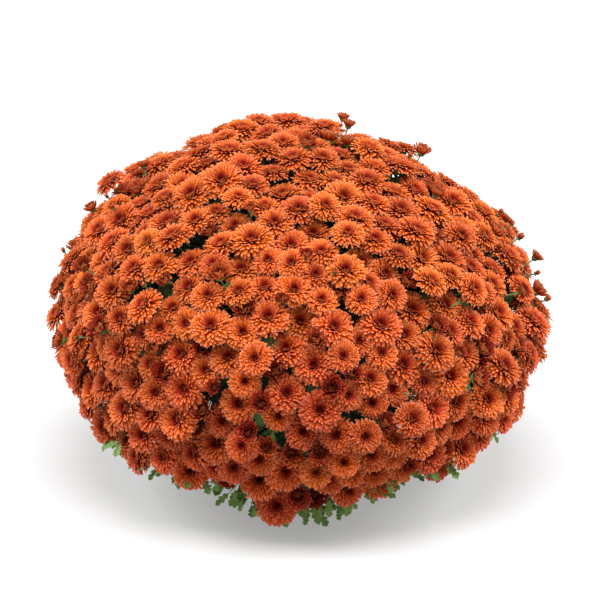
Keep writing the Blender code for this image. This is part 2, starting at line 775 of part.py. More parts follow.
def main():
    for old in list(bpy.data.objects):
        bpy.data.objects.remove(old)
    petal_orange = plain_material("petal_orange", (0.74, 0.13, 0.02), 0.55)
    stem_green = plain_material("stem_green", (0.16, 0.25, 0.07), 0.6)
    leaf_green = plain_material("leaf_green", (0.07, 0.17, 0.05), 0.55)
    pot_plastic = plain_material("pot_plastic", (0.02, 0.02, 0.022), 0.45)
    peat = plain_material("peat", (0.045, 0.028, 0.018), 0.95)

    feet = trunk_feet()
    build_pot(pot_plastic)
    build_soil(peat, feet)

    centres = spray_centres()
    blooms = [b for b in bloom_layout() if b["open"]]
    plans = plan_feet(blooms, centres)
    sizes = fit_blooms(blooms)
    sprays = []
    for k, centre in enumerate(centres):
        own = [n for n, b in enumerate(blooms) if b["spray"] == k]
        own_blooms = [blooms[n] for n in own]
        own_sizes = [sizes[n] for n in own]
        sprays.append(build_spray(k, centre, plans[k], own_blooms, own_sizes, petal_orange))

    taken = [tree_of(sprays)]
    for j, foot in enumerate(feet):
        roots = [(wedge_root(c), root_direction(c)) for c in centres if trunk_of(c, feet) == j]
        build_stems(j, foot, roots, taken, stem_green, leaf_green)
    print(f"blooms {len(blooms)}, mean size {sum(sizes) / len(sizes):.3f}")


main()
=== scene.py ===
# %% [markdown]
# # A pot chrysanthemum in bloom
# A garden chrysanthemum grown as a ball: about seven hundred double orange blooms stand on
# short stalks over dark lobed leaves, and the whole ball grows out of one nursery pot.
# The solids of the plant are already made, so the lesson starts by loading them. Everything
# below is built around those solids, in the same place and at the same size.

# %% Load the frame
import math

import bmesh
import bpy
import numpy as np
from mathutils import Matrix, Vector
from mathutils.bvhtree import BVHTree


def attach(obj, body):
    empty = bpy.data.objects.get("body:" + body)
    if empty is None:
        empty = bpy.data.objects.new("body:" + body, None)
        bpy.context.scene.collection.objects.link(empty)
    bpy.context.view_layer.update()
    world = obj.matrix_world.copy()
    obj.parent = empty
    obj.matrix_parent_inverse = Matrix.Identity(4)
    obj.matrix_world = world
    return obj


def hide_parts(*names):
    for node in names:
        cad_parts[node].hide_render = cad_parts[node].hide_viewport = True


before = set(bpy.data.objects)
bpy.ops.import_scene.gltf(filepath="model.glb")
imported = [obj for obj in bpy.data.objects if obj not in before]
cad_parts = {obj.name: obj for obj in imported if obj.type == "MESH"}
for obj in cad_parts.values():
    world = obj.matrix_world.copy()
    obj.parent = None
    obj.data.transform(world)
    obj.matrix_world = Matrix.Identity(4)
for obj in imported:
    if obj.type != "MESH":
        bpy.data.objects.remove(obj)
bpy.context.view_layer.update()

# %% [markdown]
# ## Sizes
# The blooms stand where the solids have theirs, so the sizes that set their places are the
# same ones. A flattened sphere describes the ball. It reaches lower at the front, draws in
# toward its underside, and has a few soft swells so that it doesn't look turned on a lathe.

# %% Sizes of the ball and the blooms
MM = 0.001
SEED = 5

BALL_RADIUS = 249 * MM
BALL_RISE = 202 * MM
BALL_CENTRE_Z = 168 * MM
SKIRT_FRONT = 0.64  # how far below its middle the ball has blooms, as a share: at the front,
SKIRT_SIDES = 0.43  # and everywhere else
FRONT_FALLOFF = 5  # how quickly the low front gives way to the sides
TAPER = 0.37  # how far the underside draws in
SHOULDER = 0.055  # how much flatter the ball is between its crown and its sides
LUMP = 0.022  # height of the broad swells, as a share of the ball,
RIPPLE = 0.012  # and of the small ones
CROWN_SHIFT = -13 * MM  # the crown stands a little to the left

OPEN_BLOOMS = 545
SMALL_BLOOMS = 140
OPEN_RADIUS = (13.5 * MM, 19.5 * MM)
SMALL_RADIUS = (5.0 * MM, 9.5 * MM)
SPREAD_JITTER = 0.25  # as a share of the smallest open bloom
LOW_THINNING = 0.30  # how many fewer blooms there are at the lowest edge
PACKING = 0.93  # how near two blooms may come, as a share of both radii
SETTLE_STEPS = 60
SETTLE_PUSH = 0.35
FACE_LIFT = 0.95  # 1 faces straight out of the ball, less looks further up
FACE_LIFT_BELOW = 0.35  # the same for the underside
FACE_SCATTER = 0.16
DEEPEST_BLOOM = 15 * MM
PROUDEST_BLOOM = 8 * MM
TIP_DROP = 0.22  # how far a bloom's edge hangs behind its face, as a share of its radius
WEDGE_DEPTH = 29 * MM  # from the ball's skin down to the solid growth under the blooms
WEDGE_ROOT = 0.60  # where that growth starts inside the ball, as a share of the ball
BLOOM_CLEARANCE = 3 * MM
SPRAYS = 25
SPRAY_LOWEST = -0.34
GOLDEN_ANGLE = math.pi * (3 - math.sqrt(5))
UP = Vector((0, 0, 1))
print("ball", round(2 * BALL_RADIUS / MM), "mm wide,", OPEN_BLOOMS + SMALL_BLOOMS, "blooms")

# %% [markdown]
# ## Where the blooms stand
# On the real plant the blooms jostle for light until each has its own room. A golden-angle
# spiral spreads points evenly over the ball, and then each pair that stands too close pushes
# apart a little, sixty times over. Placing them by hand would show rows, and pure chance
# would leave bald patches, so the spiral with a settling step is used.


# %% The shape of the ball
def frontness(x, y):
    """1 straight to the front, falling to 0 at the sides, and 0 behind."""
    level = math.hypot(x, y)
    return max(0.0, -y / level) ** FRONT_FALLOFF if level > 1e-9 else 0.0


def skirt_height(x, y):
    """The lowest height of a bloom's direction on this side of the ball."""
    return -(SKIRT_SIDES + (SKIRT_FRONT - SKIRT_SIDES) * frontness(x, y))


def lump(direction):
    """How much larger or smaller the ball is in this direction, as a factor."""
    x, y, z = direction
    waves = math.sin(3.1 * x + 4.3 * z + 0.8) + math.sin(4.7 * y - 2.9 * x + 2.1)
    waves += math.sin(5.3 * z + 2.2 * y)
    ripples = math.sin(9.7 * x + 1.9) * math.cos(8.3 * z - 6.1 * y)
    drawn_in = TAPER * min(z, 0) ** 2 * (1 - frontness(x, y))
    shoulder = SHOULDER * 4 * max(z, 0) ** 2 * (1 - z ** 2)
    return 1 + LUMP * 0.5 * waves + RIPPLE * ripples - drawn_in - shoulder


def on_ball(direction, depth=0.0):
    """The point of the ball in a direction of the unit sphere, depth metres below the faces."""
    swell = lump(direction)
    lean = CROWN_SHIFT * max(direction[2], 0)
    return Vector((
        direction[0] * (BALL_RADIUS * swell - depth) + lean,
        direction[1] * (BALL_RADIUS * swell - depth),
        direction[2] * (BALL_RISE * swell - depth) + BALL_CENTRE_Z,
    ))


def ball_normal(direction):
    """The way out of the ball at a direction of the unit sphere."""
    x, y, z = direction
    return Vector((x / BALL_RADIUS, y / BALL_RADIUS, z / BALL_RISE)).normalized()


def ball_direction(point):
    """The direction on the unit sphere in which a point near the ball's surface lies."""
    return Vector((
        point.x / BALL_RADIUS,
        point.y / BALL_RADIUS,
        (point.z - BALL_CENTRE_Z) / BALL_RISE,
    )).normalized()


print("crown at", [round(value / MM) for value in on_ball((0.0, 0.0, 1.0))], "mm")

# %% Spread directions evenly over the ball
def even_heights(count, lowest, thinning):
    """Heights on the unit sphere for points that lie evenly over the flattened ball."""
    z = np.linspace(lowest, 1.0, 400)
    area = np.sqrt((BALL_RADIUS * z) ** 2 + BALL_RISE ** 2 * (1 - z ** 2))
    area *= np.where(z < 0, 1 + thinning * z / abs(lowest), 1.0)
    total = np.concatenate([[0.0], np.cumsum((area[1:] + area[:-1]) / 2)])
    return np.interp((np.arange(count) + 0.5) / count, total / total[-1], z)


def spiral(count, lowest, thinning=0.0):
    """Directions that wind down the ball at the golden angle."""
    z = even_heights(count, lowest, thinning)
    turn = np.arange(count) * GOLDEN_ANGLE
    ring = np.sqrt(1 - z ** 2)
    return np.stack([ring * np.cos(turn), ring * np.sin(turn), z], axis=1)


def above_skirt(directions, squeeze=False):
    """Unit directions kept above the skirt, or with the whole lower half squeezed up to it."""
    directions = directions / np.linalg.norm(directions, axis=1)[:, None]
    lowest = np.array([skirt_height(x, y) for x, y, _ in directions])
    z = directions[:, 2]
    if squeeze:
        z = np.where(z < 0, z * lowest / -SKIRT_FRONT, z)
    z = np.maximum(z, lowest)
    level = np.linalg.norm(directions[:, :2], axis=1)[:, None]
    ring = np.sqrt(1 - z ** 2)[:, None]
    return np.concatenate([directions[:, :2] / level * ring, z[:, None]], axis=1)


def spread_blooms():
    """Directions and radii of every bloom, pushed apart until each has its room."""
    random = np.random.default_rng(SEED)
    count = OPEN_BLOOMS + SMALL_BLOOMS
    radii = np.concatenate([
        random.uniform(*OPEN_RADIUS, OPEN_BLOOMS),
        random.uniform(*SMALL_RADIUS, SMALL_BLOOMS),
    ])
    radii = radii[random.permutation(count)]
    half_axes = np.array([BALL_RADIUS, BALL_RADIUS, BALL_RISE])
    directions = above_skirt(spiral(count, -SKIRT_FRONT, LOW_THINNING), squeeze=True)
    points = directions * half_axes
    points += random.normal(0, SPREAD_JITTER * OPEN_RADIUS[0], points.shape)
    wanted = (radii[:, None] + radii[None, :]) * PACKING
    for _ in range(SETTLE_STEPS):
        apart = points[:, None] - points[None, :]
        distance = np.linalg.norm(apart, axis=2) + 1e-9
        np.fill_diagonal(distance, 1.0)
        push = np.clip(wanted - distance, 0, None) / distance
        points = points + SETTLE_PUSH * (apart * push[:, :, None]).sum(axis=1)
        points = above_skirt(points / half_axes) * half_axes
    return points / half_axes, radii


# %% Turn each direction into a bloom
def level_way(angle):
    """The level direction at an angle round the plant's axis."""
    return Vector((math.cos(angle), math.sin(angle), 0))


def side_axes(forward):
    """Two directions square to forward and to each other."""
    forward = forward.normalized()
    helper = UP if abs(forward.z) < 0.9 else Vector((1, 0, 0))
    right = helper.cross(forward).normalized()
    return right, forward.cross(right)


def short_of_clear(centre, facing, radius):
    """How far a bloom must rise for the edge of its face to clear the growth below it."""
    right, up = side_axes(facing)
    short = 0.0
    for k in range(8):
        angle = math.pi * k / 4
        edge = centre + (right * math.cos(angle) + up * math.sin(angle)) * radius
        edge -= facing * TIP_DROP * radius
        unit = ball_direction(edge)
        above = (edge - on_ball(unit, WEDGE_DEPTH)).dot(ball_normal(unit))
        short = max(short, BLOOM_CLEARANCE - above)
    return short


def bloom_layout():
    """Each bloom as a dict: its direction on the ball, centre, facing, radius and turn."""
    directions, radii = spread_blooms()
    random = np.random.default_rng(SEED + 1)
    blooms = []
    for direction, radius in zip(directions, radii):
        normal = ball_normal(direction)
        tilt = math.acos(max(-1.0, min(1.0, normal.z)))
        tilt = min(tilt, math.pi / 2) * FACE_LIFT + max(0, tilt - math.pi / 2) * FACE_LIFT_BELOW
        level = Vector((normal.x, normal.y, 0))
        level = level.normalized() if level.length > 1e-6 else Vector((1, 0, 0))
        facing = UP * math.cos(tilt) + level * math.sin(tilt)
        facing = (facing + Vector(random.normal(0, FACE_SCATTER, 3))).normalized()
        draw = random.random()
        depth = DEEPEST_BLOOM * draw ** 1.6 - PROUDEST_BLOOM * (1 - draw) ** 5
        centre = on_ball(direction) - normal * depth
        centre += normal * short_of_clear(centre, facing, float(radius))
        blooms.append({
            "direction": Vector(direction),
            "centre": centre,
            "facing": facing,
            "normal": normal,
            "radius": float(radius),
            "turn": random.uniform(0, 2 * math.pi),
            "open": radius >= OPEN_RADIUS[0],
        })
    return blooms


def spray_centres():
    """The middle direction of each branch's share of the ball."""
    directions = above_skirt(spiral(SPRAYS, SPRAY_LOWEST))
    return [Vector(d).normalized() for d in directions]


def nearest(direction, centres):
    """Which spray a direction belongs to."""
    return max(range(len(centres)), key=lambda k: direction.dot(centres[k]))


centres = spray_centres()
blooms = bloom_layout()
for bloom in blooms:
    bloom["spray"] = nearest(bloom["direction"], centres)
open_blooms = sum(bloom["open"] for bloom in blooms)
print("blooms:", open_blooms, "open,", len(blooms) - open_blooms, "small")

# %% [markdown]
# ## Collecting a mesh
# A spray has tens of thousands of narrow faces. Adding them one by one through Blender's
# editing tools would take minutes, so points and triangles are worked out as arrays and
# handed over in one go. Each point also carries two marks that the materials read later.
# `growth` says how far along its part a point is, then how far out in the bloom, how deep in
# the plant (which the leaf material turns into painted shade) or how woody, and last a tone by
# chance. `blade` says where across the blade the point lies, how old the part is, and how
# golden its bloom, which is painted sunlight by the bloom's place on the ball with some chance.

# %% A heap of points, triangles and marks
COLOUR_MAP = "OFBake"
PLAIN_GROWTH, PLAIN_BLADE = (0.5, 0.0, 0.5), (0.0, 0.5, 0.0)  # marks of what has no growth


class Heap:
    """Points, triangles and marks that together become one mesh."""

    def __init__(self):
        self.points = []
        self.triangles = []
        self.growth = []
        self.blade = []
        self.spots = []
        self.finish = []
        self.count = 0

    def add(self, points, triangles, growth, blade, finish=0, spots=(0.5, 0.5)):
        """Adds points with their marks, and triangles that count from the first of them."""
        points = np.asarray(points, dtype=float).reshape(-1, 3)
        triangles = np.asarray(triangles, dtype=int).reshape(-1, 3)
        self.points.append(points)
        self.triangles.append(triangles + self.count)
        self.growth.append(np.broadcast_to(growth, points.shape))
        self.blade.append(np.broadcast_to(blade, points.shape))
        self.spots.append(np.broadcast_to(spots, (len(points), 2)))
        self.finish.append(np.full(len(triangles), finish))
        self.count += len(points)


def add_object(name, data):
    """Adds an object to the scene, with its mesh, lamp or camera."""
    made = bpy.data.objects.new(name, data)
    bpy.context.scene.collection.objects.link(made)
    return made


def piece_from(name, heap, materials, mapped=False):
    """Makes one smooth-shaded object of a heap, with a colour map if it is asked for."""
    points = np.concatenate(heap.points)
    triangles = np.concatenate(heap.triangles)
    mesh = bpy.data.meshes.new(name)
    mesh.vertices.add(len(points))
    mesh.vertices.foreach_set("co", points.ravel())
    mesh.loops.add(triangles.size)
    mesh.loops.foreach_set("vertex_index", triangles.ravel().astype(np.int32))
    mesh.polygons.add(len(triangles))
    mesh.polygons.foreach_set("loop_start", np.arange(0, triangles.size, 3, dtype=np.int32))
    mesh.polygons.foreach_set("material_index", np.concatenate(heap.finish).astype(np.int32))
    mesh.update(calc_edges=True)
    for mark in ("growth", "blade"):
        values = np.concatenate(getattr(heap, mark))
        mesh.attributes.new(mark, "FLOAT_VECTOR", "POINT").data.foreach_set("vector", values.ravel())
    if mapped:
        spots = np.concatenate(heap.spots)[triangles.ravel()]
        mesh.uv_layers.new(name=COLOUR_MAP).uv.foreach_set("vector", spots.astype(np.float32).ravel())
    mesh.shade_smooth()
    for material in materials:
        mesh.materials.append(material)
    return add_object(name, mesh)


# %% Rings of points
def ring_points(radius, z, sides):
    """A ring round the Z axis. z is one height, or one for each point."""
    turn = 2 * math.pi * np.arange(sides) / sides
    return np.stack([radius * np.cos(turn), radius * np.sin(turn), np.broadcast_to(z, sides)], axis=1)


def ring_faces(rings, sides):
    """Triangles between rings of points, one ring after another."""
    faces = []
    for k in range(rings - 1):
        for side in range(sides):
            a, b = k * sides + side, k * sides + (side + 1) % sides
            faces += [[a, b, b + sides], [a, b + sides, a + sides]]
    return faces


print("two rings of six sides have", len(ring_faces(2, 6)), "triangles between them")

# %% [markdown]
# ## A ray floret
# What looks like a petal is a whole small flower, a strap about 13 mm long and 2 mm wide,
# shallow like a gutter and blunt at its tip. A bloom has about 250 of them, set in
# the same spiral as the seeds of a sunflower. The young ones in the middle stand up and
# curl in over a dark eye, and the older they are the further they lie back. One recipe with
# a ring number from 0 in the eye to 1 at the rim gives them all, which is how the plant
# does it too. Sculpting one and copying it would repeat its shape in every bloom.

# %% Shape of a floret along its length
STEPS = 16
ROW_STEPS = np.array([1, 8, 15, 16])  # steps of the centre line where the blade has its points
ROW_SIDES = [(1, -1), (1, -1), (1, -1), (0,)]
ROW_WIDTH = [0.55, 0.95, 1.0, 0.0]
FLORET_FACES = [[0, 1, 3], [0, 3, 2], [2, 3, 5], [2, 5, 4], [4, 5, 6]]
FLORET_POINTS = 7
TONES = 8
BEND = 1.3  # above 1 a floret bends more toward its tip
EYE_RADIUS, EYE_RISE = 0.03, 0.05  # where the innermost florets stand, for a bloom of radius 1
LENGTH_SCATTER, RISE_SCATTER, TIP_SCATTER, TURN_SCATTER = 0.05, 4, 8, 0.05
GUTTER, GUTTER_SKEW = 0.35, 0.25  # as shares of a floret's half width

# Each table has one value for each of these rings, from the eye to the rim
RINGS = [0.0, 0.22, 0.38, 0.62, 0.82, 1.0]
OPEN_SHAPE = {
    "florets": 250,
    "seat": 0.13,
    "length": [0.14, 0.21, 0.40, 0.68, 0.85, 0.88],
    "rise": [92, 84, 70, 52, 36, 22],
    "tip": [118, 112, 84, 34, -4, -42],
    "width": [0.038, 0.044, 0.051, 0.057, 0.061, 0.064],
}
HALF_SHAPE = {
    "florets": 104,
    "seat": 0.24,
    "length": [0.28, 0.38, 0.58, 0.80, 0.92, 0.98],
    "rise": [92, 84, 74, 58, 44, 30],
    "tip": [128, 122, 112, 100, 84, 62],
    "width": [0.055, 0.060, 0.070, 0.080, 0.088, 0.092],
}
BUD_SHAPE = {
    "florets": 34,
    "seat": 0.30,
    "length": [0.8, 0.9, 1.05, 1.2, 1.25, 1.3],
    "rise": [90, 86, 78, 68, 58, 50],
    "tip": [100, 112, 122, 130, 134, 136],
    "width": [0.12, 0.14, 0.17, 0.20, 0.22, 0.22],
}


def floret_lines(ring, shape, scatter):
    """Centre lines of florets in the plane of each, as distance out and height, at every step."""
    length = np.interp(ring, RINGS, shape["length"]) * (1 + LENGTH_SCATTER * scatter[:, 0])
    rise = np.radians(np.interp(ring, RINGS, shape["rise"]) + RISE_SCATTER * scatter[:, 1])
    tip = np.radians(np.interp(ring, RINGS, shape["tip"]) + TIP_SCATTER * scatter[:, 2])
    share = (np.arange(STEPS) + 0.5) / STEPS
    angle = rise[:, None] + (tip - rise)[:, None] * share ** BEND
    step = length[:, None] / STEPS
    zero = np.zeros((len(ring), 1))
    out = np.concatenate([zero, np.cumsum(np.cos(angle) * step, axis=1)], axis=1)
    high = np.concatenate([zero, np.cumsum(np.sin(angle) * step, axis=1)], axis=1)
    out += EYE_RADIUS + shape["seat"] * ring[:, None]
    high += EYE_RISE * (1 - ring[:, None] ** 2)
    return out, high


def florets(shape, random):
    """Points of the florets of a bloom of radius 1 that faces +Z, with their marks."""
    count = shape["florets"]
    order = np.arange(count)
    ring = np.sqrt((order + 0.5) / count)
    scatter = random.normal(0, 1, (count, 5)).clip(-2, 2)
    out, high = floret_lines(ring, shape, scatter)
    angle = order * GOLDEN_ANGLE + TURN_SCATTER * scatter[:, 3]
    around = np.stack([np.cos(angle), np.sin(angle), np.zeros(count)], axis=1)
    across = np.stack([-np.sin(angle), np.cos(angle), np.zeros(count)], axis=1)
    upward = np.array([0.0, 0.0, 1.0])
    slope = np.gradient(high, axis=1)[:, ROW_STEPS]
    reach = np.gradient(out, axis=1)[:, ROW_STEPS]
    steep = np.hypot(slope, reach) + 1e-9
    half = np.interp(ring, RINGS, shape["width"])
    points, along, side = [], [], []
    for row, step in enumerate(ROW_STEPS):
        middle = around * out[:, step, None] + upward * high[:, step, None]
        above = (upward * reach[:, row, None] - around * slope[:, row, None]) / steep[:, row, None]
        width = half * ROW_WIDTH[row]
        for edge in ROW_SIDES[row]:
            gutter = (GUTTER * abs(edge) + GUTTER_SKEW * scatter[:, 4] * edge) * width
            points.append(middle + across * (edge * width)[:, None] + above * gutter[:, None])
            along.append(np.full(count, step / STEPS))
            side.append(np.full(count, float(edge)))
    points = np.stack(points, axis=1).reshape(-1, 3)
    along = np.stack(along, axis=1).ravel()
    side = np.stack(side, axis=1).ravel()
    tone = random.integers(0, TONES, count) / TONES
    ring, tone = np.repeat(ring, FLORET_POINTS), np.repeat(tone, FLORET_POINTS)
    faces = np.array(FLORET_FACES)[None] + FLORET_POINTS * order[:, None, None]
    return points, faces.reshape(-1, 3), along, ring, tone, side


print("a bloom has", OPEN_SHAPE["florets"], "florets of", len(FLORET_FACES), "triangles each")

# %% [markdown]
# ## Blooms, half-open blooms and buds
# Each bloom is drawn afresh with its own scatter, then turned to face where it should and
# set over its place. Its florets start a little below the face of the solid bloom, so that
# the finished flower fills the same room. Half-open blooms are cups of dark red florets,
# and buds are closed. A green cup of small bracts holds each of them from behind.

# %% Set a bloom on the ball
BLOOM_SINK = 0.62  # from a bloom's face down to where its florets start, as a share of its radius
BLOOM_FULL = 1.15  # the solid petals stop short of their neighbours, the real ones overlap them
BUTTON_SIDES = 7
BUTTON_RADIUS, BUTTON_FOOT, BUTTON_TOP = 0.16, 0.04, 0.15  # for a bloom of radius 1
BUTTON_MARK = (0.3, 0.0, 0.0)
# On the colour map each bloom has a band, and each tone of its florets has a column in it
COLUMN = 0.11
BAND_START, BAND_SPAN, BLADE_SPAN = 0.05, 0.9, 0.008
BUTTON_SPOT, BUTTON_SPAN = (0.01, 0.03), (0.02, 0.05)


def frame_of(bloom):
    """The bloom's own axes as rows of a matrix: right, up and facing."""
    right, up = side_axes(bloom["facing"])
    cosine, sine = math.cos(bloom["turn"]), math.sin(bloom["turn"])
    return np.array([
        right * cosine + up * sine,
        up * cosine - right * sine,
        bloom["facing"],
    ])


def bloom_base(bloom):
    """Where the florets of a bloom start."""
    return bloom["centre"] - bloom["facing"] * BLOOM_SINK * bloom["radius"]


def add_bloom(heap, bloom, place, random):
    """Adds the florets of one bloom, and the dark button in its eye."""
    points, faces, along, ring, tone, side = florets(bloom["shape"], random)
    axes = frame_of(bloom) * bloom["radius"] * BLOOM_FULL
    base = np.array(bloom_base(bloom))
    growth = np.stack([along, ring, tone], axis=1)
    blade = np.stack(np.broadcast_arrays(side, bloom["age"], bloom["tone"]), axis=1)
    first, band = place
    height = first + band * (BAND_START + BAND_SPAN * ring + BLADE_SPAN * side)
    spots = np.stack([tone + COLUMN * along, height], axis=1)
    heap.add(base + points @ axes, faces, growth, blade, spots=spots)
    rim = ring_points(BUTTON_RADIUS, BUTTON_FOOT, BUTTON_SIDES)
    button = np.concatenate([rim, [[0, 0, BUTTON_TOP]]])
    faces = [[k, (k + 1) % BUTTON_SIDES, BUTTON_SIDES] for k in range(BUTTON_SIDES)]
    right = BUTTON_SPOT[0] + BUTTON_SPAN[0] * button[:, 0]
    height = first + band * (BUTTON_SPOT[1] + BUTTON_SPAN[1] * button[:, 1])
    blade = (0.0, bloom["age"], bloom["tone"])
    heap.add(base + button @ axes, faces, BUTTON_MARK, blade, spots=np.stack([right, height], axis=1))


# %% Tubes and cups
STEM_FINISH, LEAF_FINISH = 0, 1  # the places of the two finishes on a green piece
CUP_PROFILE = [(0.07, -0.30), (0.20, -0.20), (0.30, -0.02), (0.27, 0.10)]
CUP_SIDES = 8
CUP_WIDTH = {"open": 1.0, "half": 1.5, "bud": 2.3}
CUP_TEETH = 0.05


def tube(heap, path, radii, sides, woody, tone):
    """Adds a round stalk along a path, with a radius at each of its points, and a closed tip."""
    path = np.array([tuple(p) for p in path])
    heading = np.gradient(path, axis=0)
    heading /= np.linalg.norm(heading, axis=1)[:, None]
    right = np.array(side_axes(Vector(heading[0]))[0])
    turn = 2 * math.pi * np.arange(sides) / sides
    points = []
    for centre, forward, radius in zip(path, heading, radii):
        right = right - forward * right.dot(forward)
        right /= np.linalg.norm(right)
        up = np.cross(forward, right)
        points.append(centre + radius * (np.outer(np.cos(turn), right) + np.outer(np.sin(turn), up)))
    points.append(path[-1:])
    top = (len(path) - 1) * sides
    faces = ring_faces(len(path), sides)
    faces += [[top + side, top + (side + 1) % sides, top + sides] for side in range(sides)]
    heap.add(np.concatenate(points), faces, (0.5, woody, tone), PLAIN_BLADE, STEM_FINISH)


def add_cup(heap, bloom, tone):
    """Adds the green cup of bracts under a bloom."""
    wide = CUP_WIDTH[bloom["kind"]]
    rings = [ring_points(radius * wide, height, CUP_SIDES) for radius, height in CUP_PROFILE]
    rings[-1][:, 2] += CUP_TEETH * (np.arange(CUP_SIDES) % 2)
    points = np.array(bloom_base(bloom)) + np.concatenate(rings) * bloom["radius"] @ frame_of(bloom)
    blade = (0.0, bloom["age"], bloom["tone"])
    heap.add(points, ring_faces(len(rings), CUP_SIDES), (0.5, 0.0, tone), blade, STEM_FINISH)


print("a cup has", len(ring_faces(len(CUP_PROFILE), CUP_SIDES)), "triangles")

# %% [markdown]
# ## Leaves
# The leaf is lobed like a small oak leaf, with two or three blunt lobes on each side, a
# crease along the midrib and a droop toward the tip. Its outline could be cut from a flat
# sheet, but a leaf built in stations along the midrib can curl, cup and droop, and carries
# the marks that its veins are drawn from.

# %% One lobed leaf
LEAF_LENGTH = 38 * MM
LEAF_WIDTH = 21 * MM
FINE_LEAF = [  # along the midrib, half width, and how far the edge leans forward
    (0.00, 0.02, 0.00), (0.12, 0.05, 0.00), (0.20, 0.30, 0.06), (0.28, 0.34, 0.08),
    (0.36, 0.17, 0.05), (0.44, 0.40, 0.09), (0.53, 0.46, 0.11), (0.61, 0.22, 0.06),
    (0.68, 0.36, 0.09), (0.76, 0.38, 0.10), (0.84, 0.22, 0.06), (0.93, 0.15, 0.03),
    (1.00, 0.01, 0.00),
]
PLAIN_LEAF = [
    (0.00, 0.03, 0.00), (0.20, 0.30, 0.08), (0.34, 0.16, 0.04), (0.50, 0.46, 0.12),
    (0.62, 0.22, 0.06), (0.76, 0.38, 0.10), (0.88, 0.20, 0.05), (1.00, 0.01, 0.00),
]
FINE_SIDES = (-1.0, -0.5, 0.0, 0.5, 1.0)
PLAIN_SIDES = (-1.0, 0.0, 1.0)
LEAF_LEAST = (-0.05, -0.1, -0.25, 0)  # droop, curl, twist, and where the edge's wave starts
LEAF_MOST = (0.28, 0.45, 0.25, 6.28)
LEAF_FOLD = 0.8  # how much of the curl folds the leaf along its midrib
LEAF_RISE, LEAF_CREASE, LEAF_WAVE = 0.035, 0.10, 0.045  # as shares of the leaf's width


def add_leaf(heap, base, direction, face, size, random, depth=0.0, fine=True):
    """Adds one leaf that starts at base, with its upper side toward face."""
    direction = direction.normalized()
    side = face.cross(direction).normalized()
    face = direction.cross(side)
    length, width = LEAF_LENGTH * size, LEAF_WIDTH * size
    droop, curl, twist, wave = random.uniform(LEAF_LEAST, LEAF_MOST)
    stations, sides = (FINE_LEAF, FINE_SIDES) if fine else (PLAIN_LEAF, PLAIN_SIDES)
    x, half, lean = (np.repeat(column, len(sides)) for column in np.array(stations).T)
    across = np.tile(sides, len(stations))
    out = half * across
    forward = x + lean * abs(across)
    high = LEAF_RISE - droop * x * x - LEAF_CREASE * (across == 0)
    high += curl * abs(out) * LEAF_FOLD + twist * x * out
    high += LEAF_WAVE * abs(across) * np.sin(wave + 9 * x + 2 * across)
    points = np.array(base) + np.outer(forward * length, direction)
    points += np.outer(out * width, side) + np.outer(high * width, face)
    tone = np.full(len(x), random.random())
    growth = np.stack([x + 0.5 * lean * abs(across), np.full(len(x), depth), tone], axis=1)
    blade = np.stack([out, abs(across), tone], axis=1)
    row, column = np.meshgrid(np.arange(len(stations) - 1), np.arange(len(sides) - 1), indexing="ij")
    a = (row * len(sides) + column).ravel()
    faces = np.concatenate([
        np.stack([a, a + len(sides), a + len(sides) + 1], axis=1),
        np.stack([a, a + len(sides) + 1, a + 1], axis=1),
    ])
    heap.add(points, faces, growth, blade, LEAF_FINISH)


print("a leaf is", round(LEAF_LENGTH / MM), "mm long, in", len(FINE_LEAF), "stations")

# %% [markdown]
# ## Colour and nodes
# Colours are written as the sRGB hex values that one would pick on a screen. Blender's
# shaders work in linear light, so one function turns them. A material could be put together
# by hand in the node editor, but a script has to name every node. One small function adds a
# node with its settings and what goes into it: a number, a colour or another node's output.


# %% Helpers for materials
def linear(code):
    """An sRGB hex colour as linear light, with alpha 1."""
    shares = [int(code[k:k + 2], 16) / 255 for k in (1, 3, 5)]
    light = [s / 12.92 if s <= 0.04045 else ((s + 0.055) / 1.055) ** 2.4 for s in shares]
    return (*light, 1.0)


def add_node(tree, kind, inputs=None, stops=(), out=0, **settings):
    """Adds a node and gives back one of its outputs. stops are a ramp's places and colours."""
    made = tree.nodes.new("ShaderNode" + kind)
    for name, value in settings.items():
        setattr(made, name, value)
    for name, given in (inputs or {}).items():
        if isinstance(given, bpy.types.NodeSocket):
            tree.links.new(given, made.inputs[name])
        else:
            made.inputs[name].default_value = given
    if stops:
        elements = made.color_ramp.elements
        while len(elements) < len(stops):
            elements.new(1.0)
        for element, (place, code) in zip(elements, stops):
            element.position = place
            element.color = linear(code)
    return made.outputs[out]


FACTOR, FIRST, SECOND = 0, 6, 7  # the inputs of a Mix node when it mixes colours
BLEND = {"data_type": "RGBA", "out": 2}
DARKEN = {**BLEND, "blend_type": "MULTIPLY"}


def new_material(name):
    """An empty material, its tree, and the socket that its finished surface goes into."""
    material = bpy.data.materials.new(name)
    material.use_nodes = True
    tree = material.node_tree
    tree.nodes.clear()
    return material, tree, tree.nodes.new("ShaderNodeOutputMaterial").inputs["Surface"]


print("mid grey #808080 is", round(linear("#808080")[0], 3), "in linear light")
